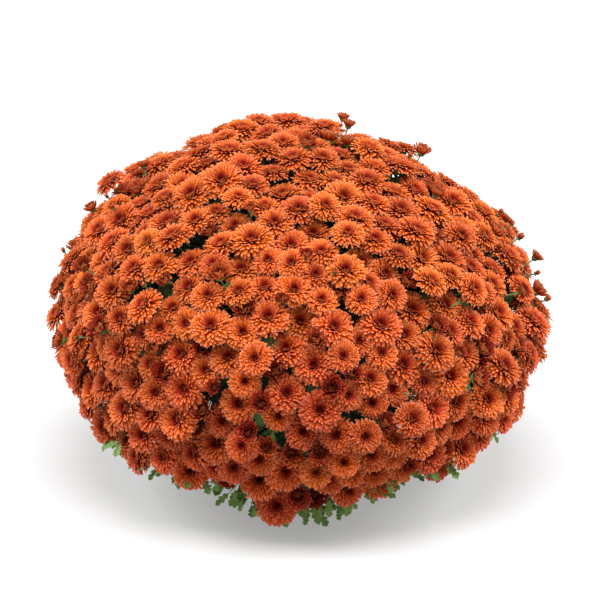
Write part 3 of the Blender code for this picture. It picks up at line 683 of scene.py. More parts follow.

# %% [markdown]
# ## Petal
# The petals are living tissue, thin and waxed: orange above, red-brown behind, almost
# maroon in the eye, and pale at their tips where the pigment thins out. The colour could be
# painted, but it follows the floret's growth, so it is read from the growth marks. Two runs
# of colour from base to tip are mixed as painted light: a redder, darker one as painted shade
# for blooms in the shade, and a more golden one as painted sunlight for those in the sun.

# %% Colours along a floret
# Painted light: the golden run stands for sunlit blooms, the redder and darker one for shaded blooms.
SUNLIT_FLORET_PAINTED = [
    (0.0, "#6A140C"), (0.42, "#B63A0C"), (0.78, "#DE6A0C"), (0.93, "#DE7624"), (1.0, "#F0AE98"),
]
SHADED_FLORET_PAINTED = [
    (0.0, "#580E10"), (0.42, "#A02410"), (0.78, "#CA4610"), (0.93, "#D25A2A"), (1.0, "#EAA294"),
]
EYE_FLORET = [(0.0, "#420810"), (0.6, "#781018"), (1.0, "#A8281C")]
YOUNG_FLORET = [(0.0, "#3A0810"), (0.6, "#741214"), (0.9, "#9A2218"), (1.0, "#C65A3E")]
FLORET_BACK = [(0.0, "#7A1C0E"), (0.6, "#BE4A18"), (1.0, "#EE9A60")]
FADED_PETAL = linear("#B8702E")
FLORET_GAP_SHADE_PAINTED = linear("#8E2010")


def floret_colour(tree, along, ring, age, sun_and_tone):
    """The colour of a floret: painted sun or shade, eye or rim, young, open or faded."""
    sunlit_run = add_node(tree, "ValToRGB", {"Fac": along}, SUNLIT_FLORET_PAINTED)
    shaded_run = add_node(tree, "ValToRGB", {"Fac": along}, SHADED_FLORET_PAINTED)
    eye = add_node(tree, "ValToRGB", {"Fac": along}, EYE_FLORET)
    young = add_node(tree, "ValToRGB", {"Fac": along}, YOUNG_FLORET)
    in_eye = add_node(tree, "MapRange", {
        "Value": ring, "From Min": 0.35, "From Max": 0.62, "To Min": 1.0, "To Max": 0.0,
    }, interpolation_type="SMOOTHSTEP")
    in_bud = add_node(tree, "MapRange", {
        "Value": age, "From Min": 0.0, "From Max": 0.25, "To Min": 1.0, "To Max": 0.0,
    })
    faded = add_node(tree, "MapRange", {
        "Value": age, "From Min": 0.80, "From Max": 1.0, "To Min": 0.0, "To Max": 0.35,
    })
    colour = shaded_run
    for share, other in ((sun_and_tone, sunlit_run), (in_eye, eye), (in_bud, young), (faded, FADED_PETAL)):
        colour = add_node(tree, "Mix", {FACTOR: share, FIRST: colour, SECOND: other}, **BLEND)
    return colour


print("a floret's colours, sunlit:", *[code for _, code in SUNLIT_FLORET_PAINTED])

# %% [markdown]
# ## Light on a petal
# No two florets of a bloom are equally bright, and old blooms bleach. The margins of the
# florets are darkened toward a deep red as painted shade where neighbouring florets meet, and
# their backs keep more red. A petal is so thin that light comes through it, so a part of
# the light is passed on by a Translucent shader. The fine ribs and the gutter along each
# floret are far too small to model a million times, so a bump gives them.

# %% Petal material
PETAL_WIDTH = 2.0 * MM
PETAL_RIB = 0.30 * MM  # spacing of the fine ribs along a floret


def floret_shade(tree, colour, tone, age):
    """The same colour, a little darker or lighter by floret and by the bloom's age."""
    by_floret = add_node(tree, "MapRange", {"Value": tone, "To Min": 0.80, "To Max": 1.10})
    by_age = add_node(tree, "MapRange", {
        "Value": age, "From Min": 0.3, "From Max": 0.78, "To Min": 0.78, "To Max": 1.12,
    })
    shade = add_node(tree, "Math", {0: by_floret, 1: by_age}, operation="MULTIPLY")
    return add_node(tree, "Mix", {FACTOR: 1.0, FIRST: colour, SECOND: shade}, **DARKEN)


def floret_edges(tree, colour, along, across):
    """The same colour with margins darkened as painted shade where florets meet, and another one
    behind.
    """
    aside = add_node(tree, "Math", {0: across}, operation="ABSOLUTE")
    # Painted shade: the edges of each floret darken where it meets its neighbours.
    gap_shade = add_node(tree, "Math", {0: aside, 1: 3.0}, operation="POWER")
    gap_shade = add_node(tree, "Math", {0: gap_shade, 1: 0.4}, operation="MULTIPLY")
    colour = add_node(tree, "Mix", {FACTOR: gap_shade, FIRST: colour, SECOND: FLORET_GAP_SHADE_PAINTED}, **BLEND)
    behind = add_node(tree, "NewGeometry", out="Backfacing")
    behind = add_node(tree, "Math", {0: behind, 1: 0.6}, operation="MULTIPLY")
    back = add_node(tree, "ValToRGB", {"Fac": along}, FLORET_BACK)
    return add_node(tree, "Mix", {FACTOR: behind, FIRST: colour, SECOND: back}, **BLEND)


def ribs_and_gutter(tree, across):
    """The relief across a floret: fine ribs on a shallow gutter."""
    rib = add_node(tree, "Math", {0: across, 1: PETAL_WIDTH / PETAL_RIB}, operation="MULTIPLY")
    rib = add_node(tree, "Math", {0: rib}, operation="SINE")
    gutter = add_node(tree, "Math", {0: across, 1: across}, operation="MULTIPLY")
    return add_node(tree, "Math", {0: gutter, 1: 3.0, 2: rib}, operation="MULTIPLY_ADD")


def make_petal():
    """Satin petals of a bronze-orange chrysanthemum."""
    material, tree, surface = new_material("petal_satin_orange")
    growth = add_node(tree, "Attribute", out="Vector", attribute_name="growth")
    blade = add_node(tree, "Attribute", out="Vector", attribute_name="blade")
    along, ring, tone = add_node(tree, "SeparateXYZ", {"Vector": growth}).node.outputs
    across, age, sun_and_tone = add_node(tree, "SeparateXYZ", {"Vector": blade}).node.outputs
    colour = floret_colour(tree, along, ring, age, sun_and_tone)
    colour = floret_shade(tree, colour, tone, age)
    colour = floret_edges(tree, colour, along, across)
    relief = ribs_and_gutter(tree, across)
    bump = add_node(tree, "Bump", {"Strength": 0.5, "Distance": 0.15 * MM, "Height": relief})
    skin = add_node(tree, "BsdfPrincipled", {
        "Base Color": colour, "Normal": bump, "Roughness": 0.5,
        "IOR": 1.42, "Specular IOR Level": 0.18,
    })
    glow = add_node(tree, "BsdfTranslucent", {"Color": colour})
    both = add_node(tree, "MixShader", {0: 0.28, 1: skin, 2: glow})
    tree.links.new(both, surface)
    return material


petal = make_petal()
print("material", petal.name, "with", len(petal.node_tree.nodes), "nodes")

# %% [markdown]
# ## Leaf
# The leaves are soft and matt from a down of fine hairs, which a little sheen stands for.
# Their veins are sunk above and paler than the blade, and their undersides are greyer. The
# veins could be modelled, but at this size they are only a line of colour and a dent. They
# run off the midrib at a slant, so they are drawn from how far along and how far across a
# point of the leaf lies.

# %% Leaf material
SIDE_VEINS = 7
VEIN_SLANT = 0.75
SIDE_VEIN_WIDTH = 0.06
MIDRIB_WIDTH = 0.022
LEAF_BLOTCH = 12 * MM
DEEP_SHADE = (0.10, 0.14, 0.10, 1)  # what is left of the light far inside the plant


def leaf_veins(tree, along, across):
    """1 on the midrib and the side veins, and 0 between them."""
    aside = add_node(tree, "Math", {0: across}, operation="ABSOLUTE")
    lead = add_node(tree, "Math", {0: aside, 1: VEIN_SLANT}, operation="MULTIPLY")
    wave = along
    for operation, other in (("SUBTRACT", lead), ("MULTIPLY", SIDE_VEINS), ("PINGPONG", 0.5)):
        wave = add_node(tree, "Math", {0: wave, 1: other}, operation=operation)
    side = add_node(tree, "Math", {0: wave, 1: SIDE_VEIN_WIDTH}, operation="LESS_THAN")
    midrib = add_node(tree, "Math", {0: aside, 1: MIDRIB_WIDTH}, operation="LESS_THAN")
    return add_node(tree, "Math", {0: side, 1: midrib}, operation="MAXIMUM")


def leaf_colour(tree, tone, vein, depth):
    """Two greens by leaf, with yellower blotches, pale veins, a grey underside and painted shade deep
    in the plant.
    """
    place = add_node(tree, "TexCoord", out="Object")
    blotch = add_node(tree, "TexNoise", {
        "Vector": place, "Scale": 1 / LEAF_BLOTCH, "Detail": 3.0, "Roughness": 0.55,
    })
    behind = add_node(tree, "NewGeometry", out="Backfacing")
    inputs = {FACTOR: tone, FIRST: linear("#3C5E26"), SECOND: linear("#6C9242")}
    colour = add_node(tree, "Mix", inputs, **BLEND)
    pale = (blotch, 0.5, "#7C9C48"), (vein, 0.55, "#A8BC78"), (behind, 0.5, "#8A9C74")
    for where, most, other in pale:
        share = add_node(tree, "Math", {0: where, 1: most}, operation="MULTIPLY")
        colour = add_node(tree, "Mix", {FACTOR: share, FIRST: colour, SECOND: linear(other)}, **BLEND)
    # Painted shade: the deeper a leaf lies in the ball, the darker its colour is painted.
    light = add_node(tree, "Mix", {FACTOR: depth, FIRST: (1, 1, 1, 1), SECOND: DEEP_SHADE}, **BLEND)
    return add_node(tree, "Mix", {FACTOR: 1.0, FIRST: colour, SECOND: light}, **DARKEN)


def make_leaf():
    """Downy chrysanthemum leaf, paler beneath."""
    material, tree, surface = new_material("leaf_downy_green")
    growth = add_node(tree, "Attribute", out="Vector", attribute_name="growth")
    blade = add_node(tree, "Attribute", out="Vector", attribute_name="blade")
    along, depth, tone = add_node(tree, "SeparateXYZ", {"Vector": growth}).node.outputs
    across = add_node(tree, "SeparateXYZ", {"Vector": blade}).node.outputs[0]
    vein = leaf_veins(tree, along, across)
    colour = leaf_colour(tree, tone, vein, depth)
    bump = add_node(tree, "Bump", {"Strength": 0.5, "Distance": 0.3 * MM, "Height": vein}, invert=True)
    skin = add_node(tree, "BsdfPrincipled", {
        "Base Color": colour, "Normal": bump,
        "Roughness": 0.58, "IOR": 1.45, "Specular IOR Level": 0.35,
        "Sheen Weight": 0.15, "Sheen Roughness": 0.5,
    })
    glow = add_node(tree, "BsdfTranslucent", {"Color": colour})
    both = add_node(tree, "MixShader", {0: 0.15, 1: skin, 2: glow})
    tree.links.new(both, surface)
    return material


leaf_green = make_leaf()
print("material", leaf_green.name, "with", len(leaf_green.node_tree.nodes), "nodes")

# %% [markdown]
# ## Stem
# A young stalk is green like the leaves, with fine ridges along it. Low down it turns woody,
# and a corky brown bark breaks up the green. Two separate materials could be used, but the
# change is gradual on the plant, so one material goes from green to bark by a mark.

# %% Stem material
BARK_SPOT = 3 * MM
STEM_GRAIN = 1.2 * MM


def make_stem():
    """Ridged green stem that turns woody low down."""
    material, tree, surface = new_material("stem_ridged_green")
    growth = add_node(tree, "Attribute", out="Vector", attribute_name="growth")
    _, woody, tone = add_node(tree, "SeparateXYZ", {"Vector": growth}).node.outputs
    place = add_node(tree, "TexCoord", out="Object")
    spots = add_node(tree, "TexNoise", {
        "Vector": place, "Scale": 1 / BARK_SPOT, "Detail": 3.0, "Roughness": 0.55,
    })
    grain = add_node(tree, "TexNoise", {
        "Vector": place, "Scale": 1 / STEM_GRAIN, "Detail": 5.0, "Roughness": 0.55,
    })
    inputs = {FACTOR: tone, FIRST: linear("#3A5422"), SECOND: linear("#56723A")}
    green = add_node(tree, "Mix", inputs, **BLEND)
    inputs = {FACTOR: spots, FIRST: linear("#4E3A24"), SECOND: linear("#7A6244")}
    bark = add_node(tree, "Mix", inputs, **BLEND)
    colour = add_node(tree, "Mix", {FACTOR: woody, FIRST: green, SECOND: bark}, **BLEND)
    bump = add_node(tree, "Bump", {"Strength": 0.4, "Distance": 0.4 * MM, "Height": grain})
    skin = add_node(tree, "BsdfPrincipled", {
        "Base Color": colour, "Normal": bump,
        "Roughness": 0.62, "IOR": 1.45, "Specular IOR Level": 0.35, "Sheen Weight": 0.1,
    })
    tree.links.new(skin, surface)
    return material


stem_green = make_stem()
print("material", stem_green.name, "with", len(stem_green.node_tree.nodes), "nodes")

# %% [markdown]
# ## The sprays
# A branch of the plant carries twenty to thirty blooms, each on a stalk of its own that
# leaves the branch inside the ball and bends up to the light. Between the stalks stand the
# inner leaves, dark because little light reaches them. Some buds and late blooms stand on
# longer stalks and break the ball's outline. Each spray becomes two pieces, its petals and
# its green parts.

# %% Ages and kinds of the blooms
SHAPES = {"open": OPEN_SHAPE, "half": HALF_SHAPE, "bud": BUD_SHAPE}
YOUNG_AGE, OPEN_AGE, FADED_AGE = (0.0, 0.16), (0.3, 0.78), (0.9, 1.0)  # 0 is a closed bud
FADED_SHARE = 0.04
# Painted sunlight: how sunlit a bloom's place on the ball is sets how golden it is painted.
PAINTED_GOLD_BY_SUN = (-0.5, 0.1, 0.8), (0.0, 0.25, 0.6)  # how sunlit, and how golden that makes a bloom
HALF_SIZE = 1.35
HALF_RISE = 2.5 * MM
random = np.random.default_rng(SEED + 40)


def give_age(bloom, kind):
    """Sets how far on a bloom is, from 0 for a bud to 1 for one that fades."""
    bloom["kind"], bloom["shape"] = kind, SHAPES[kind]
    draw = random.random()
    bloom["age"] = random.uniform(*(FADED_AGE if draw < FADED_SHARE else OPEN_AGE))
    if kind != "open":
        bloom["age"] = random.uniform(*YOUNG_AGE)
    # Painted sunlight: blooms on the crown and flanks are painted more golden, low ones redder and
    # darker, with some chance mixed in.
    sunlit = bloom["direction"].z + 0.4 * abs(bloom["direction"].x)
    bloom["tone"] = np.interp(sunlit, *PAINTED_GOLD_BY_SUN) + random.uniform(-0.15, 0.45)


LEAN_TO_LIGHT = Vector((0, 0, 0.36))  # turns the living faces up a little more than the solids'
for bloom in blooms:
    give_age(bloom, "open" if bloom["open"] else "half")
    bloom["facing"] = (bloom["facing"] + LEAN_TO_LIGHT).normalized()
    if not bloom["open"]:
        bloom["radius"] *= HALF_SIZE
        bloom["centre"] += bloom["normal"] * HALF_RISE
print("half-open blooms", sum(b["kind"] == "half" for b in blooms))

# %% Blooms and buds that stand out of the ball
# Each is placed in the picture's plane: its kind, how far right and up of the ball's middle,
# how far toward the viewer, and its radius, all in millimetres.
STANDOUTS = [
    ("open", -190, 138, 0, 15), ("open", -203, 92, 10, 16), ("half", -206, 110, 0, 8),
    ("half", -212, 66, 20, 9), ("bud", -234, 20, 10, 4), ("bud", -190, 120, 0, 3),
    ("bud", 212, 93, 0, 3.5), ("bud", 220, 80, 10, 5), ("bud", 238, 44, 0, 4),
    ("bud", 240, 31, 10, 4), ("bud", 243, 24, 0, 3), ("bud", 249, 19, 0, 4.5),
    ("bud", 245, -39, 20, 4), ("half", -196, -118, 60, 7), ("bud", 168, -133, 90, 4),
    ("bud", -150, -148, 110, 4), ("bud", -120, -150, 120, 3.5), ("bud", 110, 160, 0, 3.5),
]
STANDOUT_LIFT = Vector((0, 0, 0.35))
STANDOUT_SCATTER = 0.15
LOOSE_BUDS = 34
LOOSE_BUDS_BELOW = 0.75  # none near the crown, where every bloom is open
VIEW_RISE = math.radians(20)  # the viewer looks from this far above level


def standout(kind, centre, radius):
    """A bloom or bud as the others are, on the ball's skin under a given place."""
    direction = ball_direction(centre)
    normal = ball_normal(direction)
    facing = normal + STANDOUT_LIFT + Vector(random.normal(0, STANDOUT_SCATTER, 3))
    made = {
        "direction": direction, "centre": centre, "facing": facing.normalized(), "normal": normal,
        "radius": radius, "turn": random.uniform(0, 2 * math.pi), "open": kind == "open",
        "spray": nearest(direction, centres),
    }
    give_age(made, kind)
    return made


for kind, right_mm, up_mm, toward_mm, radius_mm in STANDOUTS:
    z = (up_mm + toward_mm * math.sin(VIEW_RISE)) * MM / math.cos(VIEW_RISE)
    place = Vector((right_mm * MM, -toward_mm * MM, z + BALL_CENTRE_Z))
    blooms.append(standout(kind, place, radius_mm * MM))
for direction in above_skirt(spiral(LOOSE_BUDS, -SKIRT_SIDES)):
    if direction[2] < LOOSE_BUDS_BELOW:
        place = on_ball(Vector(direction), -random.uniform(0, 6) * MM)
        blooms.append(standout("bud", place, random.uniform(3.0, 4.5) * MM))
print("buds", sum(b["kind"] == "bud" for b in blooms))

# %% Stalks, cups and inner leaves of a spray
STALK_RADIUS = 0.9 * MM
STALK_PULL = 0.35  # how far along a stalk its curve is pulled straight at either end
STALK_SCATTER = 0.05
CUP_DEPTH = 0.28  # from the florets down to the end of the stalk, for a bloom of radius 1
INNER_LEAVES = 1500
INNER_THINNING = 0.2
INNER_SCATTER = 0.03
SHALLOW, DEEP = (22 * MM, 55 * MM), (50 * MM, 105 * MM)
SHALLOW_SIZE, DEEP_SIZE = (0.55, 0.9), (0.9, 1.35)
DEEP_SHARE = 0.4


def wedge_root(centre):
    """Where a spray meets its branch, inside the ball."""
    return Vector((
        centre.x * BALL_RADIUS * WEDGE_ROOT,
        centre.y * BALL_RADIUS * WEDGE_ROOT,
        centre.z * BALL_RISE * WEDGE_ROOT + BALL_CENTRE_Z,
    ))


def curve_points(start, pull_out, pull_in, end, steps):
    """Points along one smooth curve, with its two inner control points given."""
    return [
        start * (1 - t) ** 3 + pull_out * 3 * t * (1 - t) ** 2
        + pull_in * 3 * t ** 2 * (1 - t) + end * t ** 3
        for t in (k / steps for k in range(steps + 1))
    ]


def add_stalk(heap, root, bloom, random):
    """Adds the stalk of a bloom, from the branch inside the ball to its green cup."""
    end = bloom_base(bloom) - bloom["facing"] * CUP_DEPTH * bloom["radius"]
    span = (end - root).length
    pull_out = root + (end - root) * STALK_PULL + Vector(random.normal(0, STALK_SCATTER * span, 3))
    pull_in = end - bloom["facing"] * span * STALK_PULL
    path = curve_points(root, pull_out, pull_in, end, steps=5)
    radii = np.linspace(1.25, 0.85, len(path)) * STALK_RADIUS
    tube(heap, path, radii, sides=4, woody=0.0, tone=random.random())


def inner_leaf_places(random):
    """Places for the inner leaves, evenly over the ball, each with its spray."""
    places = [[] for _ in centres]
    directions = above_skirt(spiral(INNER_LEAVES, -SKIRT_FRONT, INNER_THINNING), squeeze=True)
    directions = above_skirt(directions + random.normal(0, INNER_SCATTER, directions.shape))
    for direction in directions:
        unit = Vector(direction)
        places[nearest(unit, centres)].append(unit)
    return places


def add_inner_leaf(heap, unit, random):
    """Adds one leaf among the stalks, rooted deep and leaning out to the light."""
    deep = random.random() < DEEP_SHARE
    depth = random.uniform(*(DEEP if deep else SHALLOW))
    normal = ball_normal(unit)
    right, up = side_axes(normal)
    turn = random.uniform(0, 2 * math.pi)
    aside = right * math.cos(turn) + up * math.sin(turn)
    direction = normal * random.uniform(0.1, 0.8) + aside
    size = random.uniform(*(DEEP_SIZE if deep else SHALLOW_SIZE))
    base = on_ball(unit, depth) - aside * 0.4 * LEAF_LENGTH * size
    # Painted shade: this share darkens the leaf's colour in its material.
    shade = min(1.0, depth / SHALLOW[1])
    add_leaf(heap, base, direction, normal, size, random, depth=shade, fine=False)


# %% Leaves along the skirt
SKIRT_LEAVES = 440
SKIRT_LOWEST = 26 * MM
SKIRT_DROP = 0.13  # how far below the lowest blooms the leaves reach, as a share of the ball
SKIRT_END = -0.94  # no leaf starts lower than this
SKIRT_LEAF_SIZE = (0.32, 0.62)
SKIRT_STALK = 14 * MM


def skirt_leaf_places(random):
    """Places just under the lowest blooms, for the leaves that show below them."""
    places = [[] for _ in centres]
    for k in range(SKIRT_LEAVES):
        angle = 2 * math.pi * (k + random.uniform(0, 1)) / SKIRT_LEAVES
        x, y = math.cos(angle), math.sin(angle)
        z = max(SKIRT_END, skirt_height(x, y) - random.uniform(0.0, SKIRT_DROP))
        unit = Vector((x, y, 0)) * math.sqrt(1 - z * z) + Vector((0, 0, z))
        places[nearest(unit, centres)].append(unit)
    return places


def add_skirt_leaf(heap, root, unit, random):
    """Adds one leaf of the skirt on its own thin stalk, hanging out and down."""
    base = on_ball(unit, random.uniform(0, 22) * MM)
    base.z = max(base.z, SKIRT_LOWEST)
    out = Vector((unit.x, unit.y, 0)).normalized()
    across = out.cross(UP) * random.uniform(-0.9, 0.9)
    direction = out * random.uniform(0.3, 1.0) + across - Vector((0, 0, random.uniform(0.2, 1.0)))
    face = out * random.uniform(0.3, 1.0) + UP
    size = random.uniform(*SKIRT_LEAF_SIZE)
    inside = root.lerp(base, 0.25)
    pull_in = base - direction.normalized() * SKIRT_STALK
    path = curve_points(inside, inside.lerp(base, 0.4), pull_in, base, steps=4)
    radii = np.linspace(0.9, 0.55, len(path)) * MM
    tube(heap, path, radii, sides=3, woody=0.0, tone=random.random())
    add_leaf(heap, base, direction, face.normalized(), size, random)


# %% Dress each spray
def finished(made, node):
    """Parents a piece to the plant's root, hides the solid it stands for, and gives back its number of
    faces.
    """
    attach(made, "root")
    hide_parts(node)
    return len(made.data.polygons)


def dress_spray(k, leaf_places, skirt_places):
    """Makes the two pieces of one spray: its petals, and its stalks, cups and leaves."""
    random = np.random.default_rng(SEED + 100 + k)
    petals, greens = Heap(), Heap()
    root = wedge_root(centres[k])
    own = [bloom for bloom in blooms if bloom["spray"] == k]
    for n, bloom in enumerate(own):
        add_bloom(petals, bloom, (n / len(own), 1 / len(own)), random)
        add_cup(greens, bloom, random.random())
        add_stalk(greens, root, bloom, random)
    for unit in leaf_places:
        add_inner_leaf(greens, unit, random)
    for unit in skirt_places:
        add_skirt_leaf(greens, root, unit, random)
    node = f"spray_{k + 1:02d}"
    made = piece_from(f"{node}_petals", petals, [petal], mapped=True)
    green = piece_from(f"{node}_greens", greens, [stem_green, leaf_green])
    return finished(made, node), finished(green, node)


inner_places = inner_leaf_places(np.random.default_rng(SEED + 41))
skirt_places = skirt_leaf_places(np.random.default_rng(SEED + 43))
totals = [dress_spray(k, inner_places[k], skirt_places[k]) for k in range(SPRAYS)]
print("petal and green triangles", np.sum(totals, axis=0))

# %% [markdown]
# ## Leafy stems
# Seven trunks leave the growing medium. Branches fan out from them to the sprays, and side
# shoots with larger leaves hang over the pot's rim under the blooms. The routes are those
# of the solids: the same curves, only with more points and rounder stems.

# %% Sizes of the stems, the pot and the growing medium
TRUNK_CIRCLE = 46 * MM
OUTER_TRUNKS = 6
TRUNK_RADIUS = 4.6 * MM
TRUNK_RISE = 30 * MM
TRUNK_SUNK = 24 * MM  # how deep a trunk stands in the growing medium
MIDDLE_ABOVE = 0.80  # sprays above this share of the ball grow from the middle trunk
BRANCH_RADIUS = 2.8 * MM
BRANCHING_Z = 190 * MM
BRANCH_PULL_OUT, BRANCH_PULL_IN = 0.35, 0.3
BRANCH_NECK = 8 * MM  # the straight end of a branch
BRANCH_END = 4 * MM  # how far it runs on into its spray
SHOOTS_PER_TRUNK = 3
SHOOT_RADIUS = 1.9 * MM
SHOOT_SPREAD = math.radians(20)
SHOOT_REACH = (52 * MM, 72 * MM)
SHOOT_ROOM = 0.06  # half the angle of ball, in radians, that is looked at above a shoot
UNDER_BLOOMS = 12 * MM
FLOOR_CLEARANCE = 14 * MM
SHOOT_LEAVES = 9
FIRST_LEAF = 1.6  # in points of the shoot's route
SHOOT_LEAF_SIZE = (0.5, 0.8)
POT_BASE_RADIUS = 66 * MM
POT_RIM_RADIUS = 95 * MM
POT_HEIGHT = 140 * MM
POT_WALL = 2.4 * MM
RIM_BAND = 16 * MM
RIM_STEP = 2.6 * MM
SOIL_TOP = 126 * MM
SOIL_CROWN = 4 * MM
TOUCH_GAP = 0.3 * MM
print(1 + OUTER_TRUNKS, "trunks, and a pot", round(POT_HEIGHT / MM), "mm high")


# %% Routes of the trunks, branches and shoots
def trunk_feet():
    """The middle trunk and the ring of six round it."""
    feet = [Vector((0, 0, 0))]
    for k in range(OUTER_TRUNKS):
        angle = 2 * math.pi * (k + 0.5) / OUTER_TRUNKS - math.pi / 2
        feet.append(level_way(angle) * TRUNK_CIRCLE)
    return feet


def trunk_of(centre, feet):
    """Which trunk carries a spray: the middle one near the top, else the one on its side."""
    if centre.z > MIDDLE_ABOVE:
        return 0
    return max(range(1, len(feet)), key=lambda j: centre.x * feet[j].x + centre.y * feet[j].y)


def branch_path(foot, centre, crown):
    """A branch from the top of its trunk to the root of its spray."""
    root = wedge_root(centre)
    before = Vector((root.x * 0.6, root.y * 0.6, (root.z + 2 * BRANCHING_Z) / 3))
    forward = (root - before).normalized()
    end = root - forward * TOUCH_GAP
    span = (end - crown).length
    pull = Vector((foot.x * 0.3, foot.y * 0.3, 0.020)).normalized() * span * BRANCH_PULL_OUT
    neck = end - forward * BRANCH_NECK
    path = curve_points(crown, crown + pull, neck - forward * span * BRANCH_PULL_IN, neck, steps=10)
    return path + [end, end + forward * BRANCH_END]


def solid_sprays():
    """A tree of the solid sprays, for finding how high a shoot can run under the blooms."""
    points, faces = [], []
    for k in range(SPRAYS):
        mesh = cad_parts[f"spray_{k + 1:02d}"].data
        start = len(points)
        points += [vertex.co.copy() for vertex in mesh.vertices]
        faces += [[start + n for n in face.vertices] for face in mesh.polygons]
    return BVHTree.FromPolygons(points, faces)


def height_below(sprays, radius, angle):
    """Height that a shoot can have under the blooms, at a distance from the pot's axis."""
    heights = [BALL_CENTRE_Z - 0.5 * radius]
    for turn in (-SHOOT_ROOM, 0, SHOOT_ROOM):
        x, y = radius * math.cos(angle + turn), radius * math.sin(angle + turn)
        hit = sprays.ray_cast(Vector((x, y, 0)), UP)[0]
        if hit:
            heights.append(hit.z)
    return max(min(heights) - UNDER_BLOOMS, FLOOR_CLEARANCE)


def shoot_path(foot, angle, reach, sprays):
    """A leafy side shoot: out of the trunk, over the pot's rim, and out under the blooms."""
    out = level_way(angle)
    path = [
        foot + Vector((0, 0, SOIL_TOP + 0.6 * TRUNK_RISE)),
        foot * 0.4 + out * 56 * MM + Vector((0, 0, POT_HEIGHT + 26 * MM)),
        out * (POT_RIM_RADIUS + 10 * MM) + Vector((0, 0, POT_HEIGHT + 12 * MM)),
    ]
    for radius in (POT_RIM_RADIUS + 20 * MM, POT_RIM_RADIUS + 0.5 * reach, POT_RIM_RADIUS + reach):
        path.append(out * radius + Vector((0, 0, height_below(sprays, radius, angle))))
    return path


def smooth(path, steps):
    """The same route with rounded corners: a Catmull-Rom curve through its points."""
    ends = [path[0] * 2 - path[1]] + path + [path[-1] * 2 - path[-2]]
    made = []
    for a, b, c, d in zip(ends, ends[1:], ends[2:], ends[3:]):
        for k in range(steps):
            t = k / steps
            made.append(0.5 * (
                b * 2 + (c - a) * t + (a * 2 - b * 5 + c * 4 - d) * t ** 2
                + (b * 3 - a - c * 3 + d) * t ** 3
            ))
    return made + [path[-1]]


# %% Grow the stems
def grow_shoot(heap, path, random):
    """Adds one side shoot and the leaves along its hanging part."""
    fine = smooth(path, 3)
    radii = np.linspace(SHOOT_RADIUS, 0.5 * SHOOT_RADIUS, len(fine))
    tube(heap, fine, radii, sides=6, woody=0.15, tone=random.random())
    last_leaf = len(path) - 1.02
    for n in range(SHOOT_LEAVES):
        at = FIRST_LEAF + (last_leaf - FIRST_LEAF) * n / (SHOOT_LEAVES - 1)
        k = int(at)
        base = path[k].lerp(path[k + 1], at - k)
        forward = (path[k + 1] - path[k]).normalized()
        out = Vector((base.x, base.y, 0)).normalized()
        across = out.cross(UP)
        sideways = 0 if n == SHOOT_LEAVES - 1 else (1 if n % 2 else -1)
        face = UP + out * random.uniform(0.2, 0.9)
        lean = Vector((0, 0, random.uniform(-0.35, 0.1)))
        direction = forward * 0.6 + out * 0.3 + across * sideways * 0.9 + lean
        size = random.uniform(*SHOOT_LEAF_SIZE)
        add_leaf(heap, base, direction, face.normalized(), size, random)


def grow_stem(j, foot, sprays):
    """Makes one leafy stem: its trunk, branches and shoots."""
    heap = Heap()
    random = np.random.default_rng(SEED + 20 + j)
    crown = foot * 1.06 + Vector((0, 0, SOIL_TOP + TRUNK_RISE))
    bottom = Vector((foot.x, foot.y, SOIL_TOP - TRUNK_SUNK + TOUCH_GAP))
    trunk = curve_points(bottom, bottom.lerp(crown, 0.4), bottom.lerp(crown, 0.7), crown, steps=8)
    radii = np.linspace(1.0, 1.15, len(trunk)) * TRUNK_RADIUS
    tube(heap, trunk, radii, sides=12, woody=0.9, tone=random.random())
    for centre in centres:
        if trunk_of(centre, trunks) == j:
            path = branch_path(foot, centre, crown)
            radii = np.linspace(1.15, 0.9, len(path)) * BRANCH_RADIUS
            tube(heap, path, radii, sides=8, woody=0.45, tone=random.random())
    if j > 0:
        heading = math.atan2(foot.y, foot.x)
        for s in range(SHOOTS_PER_TRUNK):
            angle = heading + SHOOT_SPREAD * (s - 1) + random.uniform(-0.05, 0.05)
            path = shoot_path(foot, angle, random.uniform(*SHOOT_REACH), sprays)
            grow_shoot(heap, path, random)
    node = f"leafy_stem_{j + 1:02d}"
    made = piece_from(f"{node}_grown", heap, [stem_green, leaf_green])
    return finished(made, node)


trunks = trunk_feet()
sprays = solid_sprays()
print("stem triangles", sum(grow_stem(j, foot, sprays) for j, foot in enumerate(trunks)))

# %% [markdown]
# ## Pot plastic
# The pot is a thin tapered bucket of recycled polypropylene, formed in a mould. Recycled
# stock is never quite black, the mould leaves a fine matt grain, and dust from the peat
# settles on it. A flat black would look like a hole under the flowers, so a cloudy noise
# lightens and roughens it where the dust lies, and a finer one gives the grain.

# %% Pot plastic material
DUST_CLOUD = 40 * MM
MOULD_GRAIN = 0.8 * MM


def make_pot_plastic():
    """Recycled polypropylene, black, with a fine mould grain and dusty scuffs."""
    material, tree, surface = new_material("pot_moulded_polypropylene")
    place = add_node(tree, "TexCoord", out="Object")
    dust = add_node(tree, "TexNoise", {
        "Vector": place, "Scale": 1 / DUST_CLOUD, "Detail": 6.0, "Roughness": 0.55,
    })
    grain = add_node(tree, "TexNoise", {
        "Vector": place, "Scale": 1 / MOULD_GRAIN, "Detail": 2.0, "Roughness": 0.55,
    })
    share = add_node(tree, "Math", {0: dust, 1: 0.35}, operation="MULTIPLY")
    inputs = {FACTOR: share, FIRST: linear("#18191A"), SECOND: linear("#4A4640")}
    colour = add_node(tree, "Mix", inputs, **BLEND)
    rough = add_node(tree, "MapRange", {"Value": dust, "To Min": 0.36, "To Max": 0.62})
    bump = add_node(tree, "Bump", {"Strength": 0.15, "Distance": 0.1 * MM, "Height": grain})
    skin = add_node(tree, "BsdfPrincipled", {
        "Base Color": colour, "Normal": bump, "Roughness": rough, "IOR": 1.49,
    })
    tree.links.new(skin, surface)
    return material


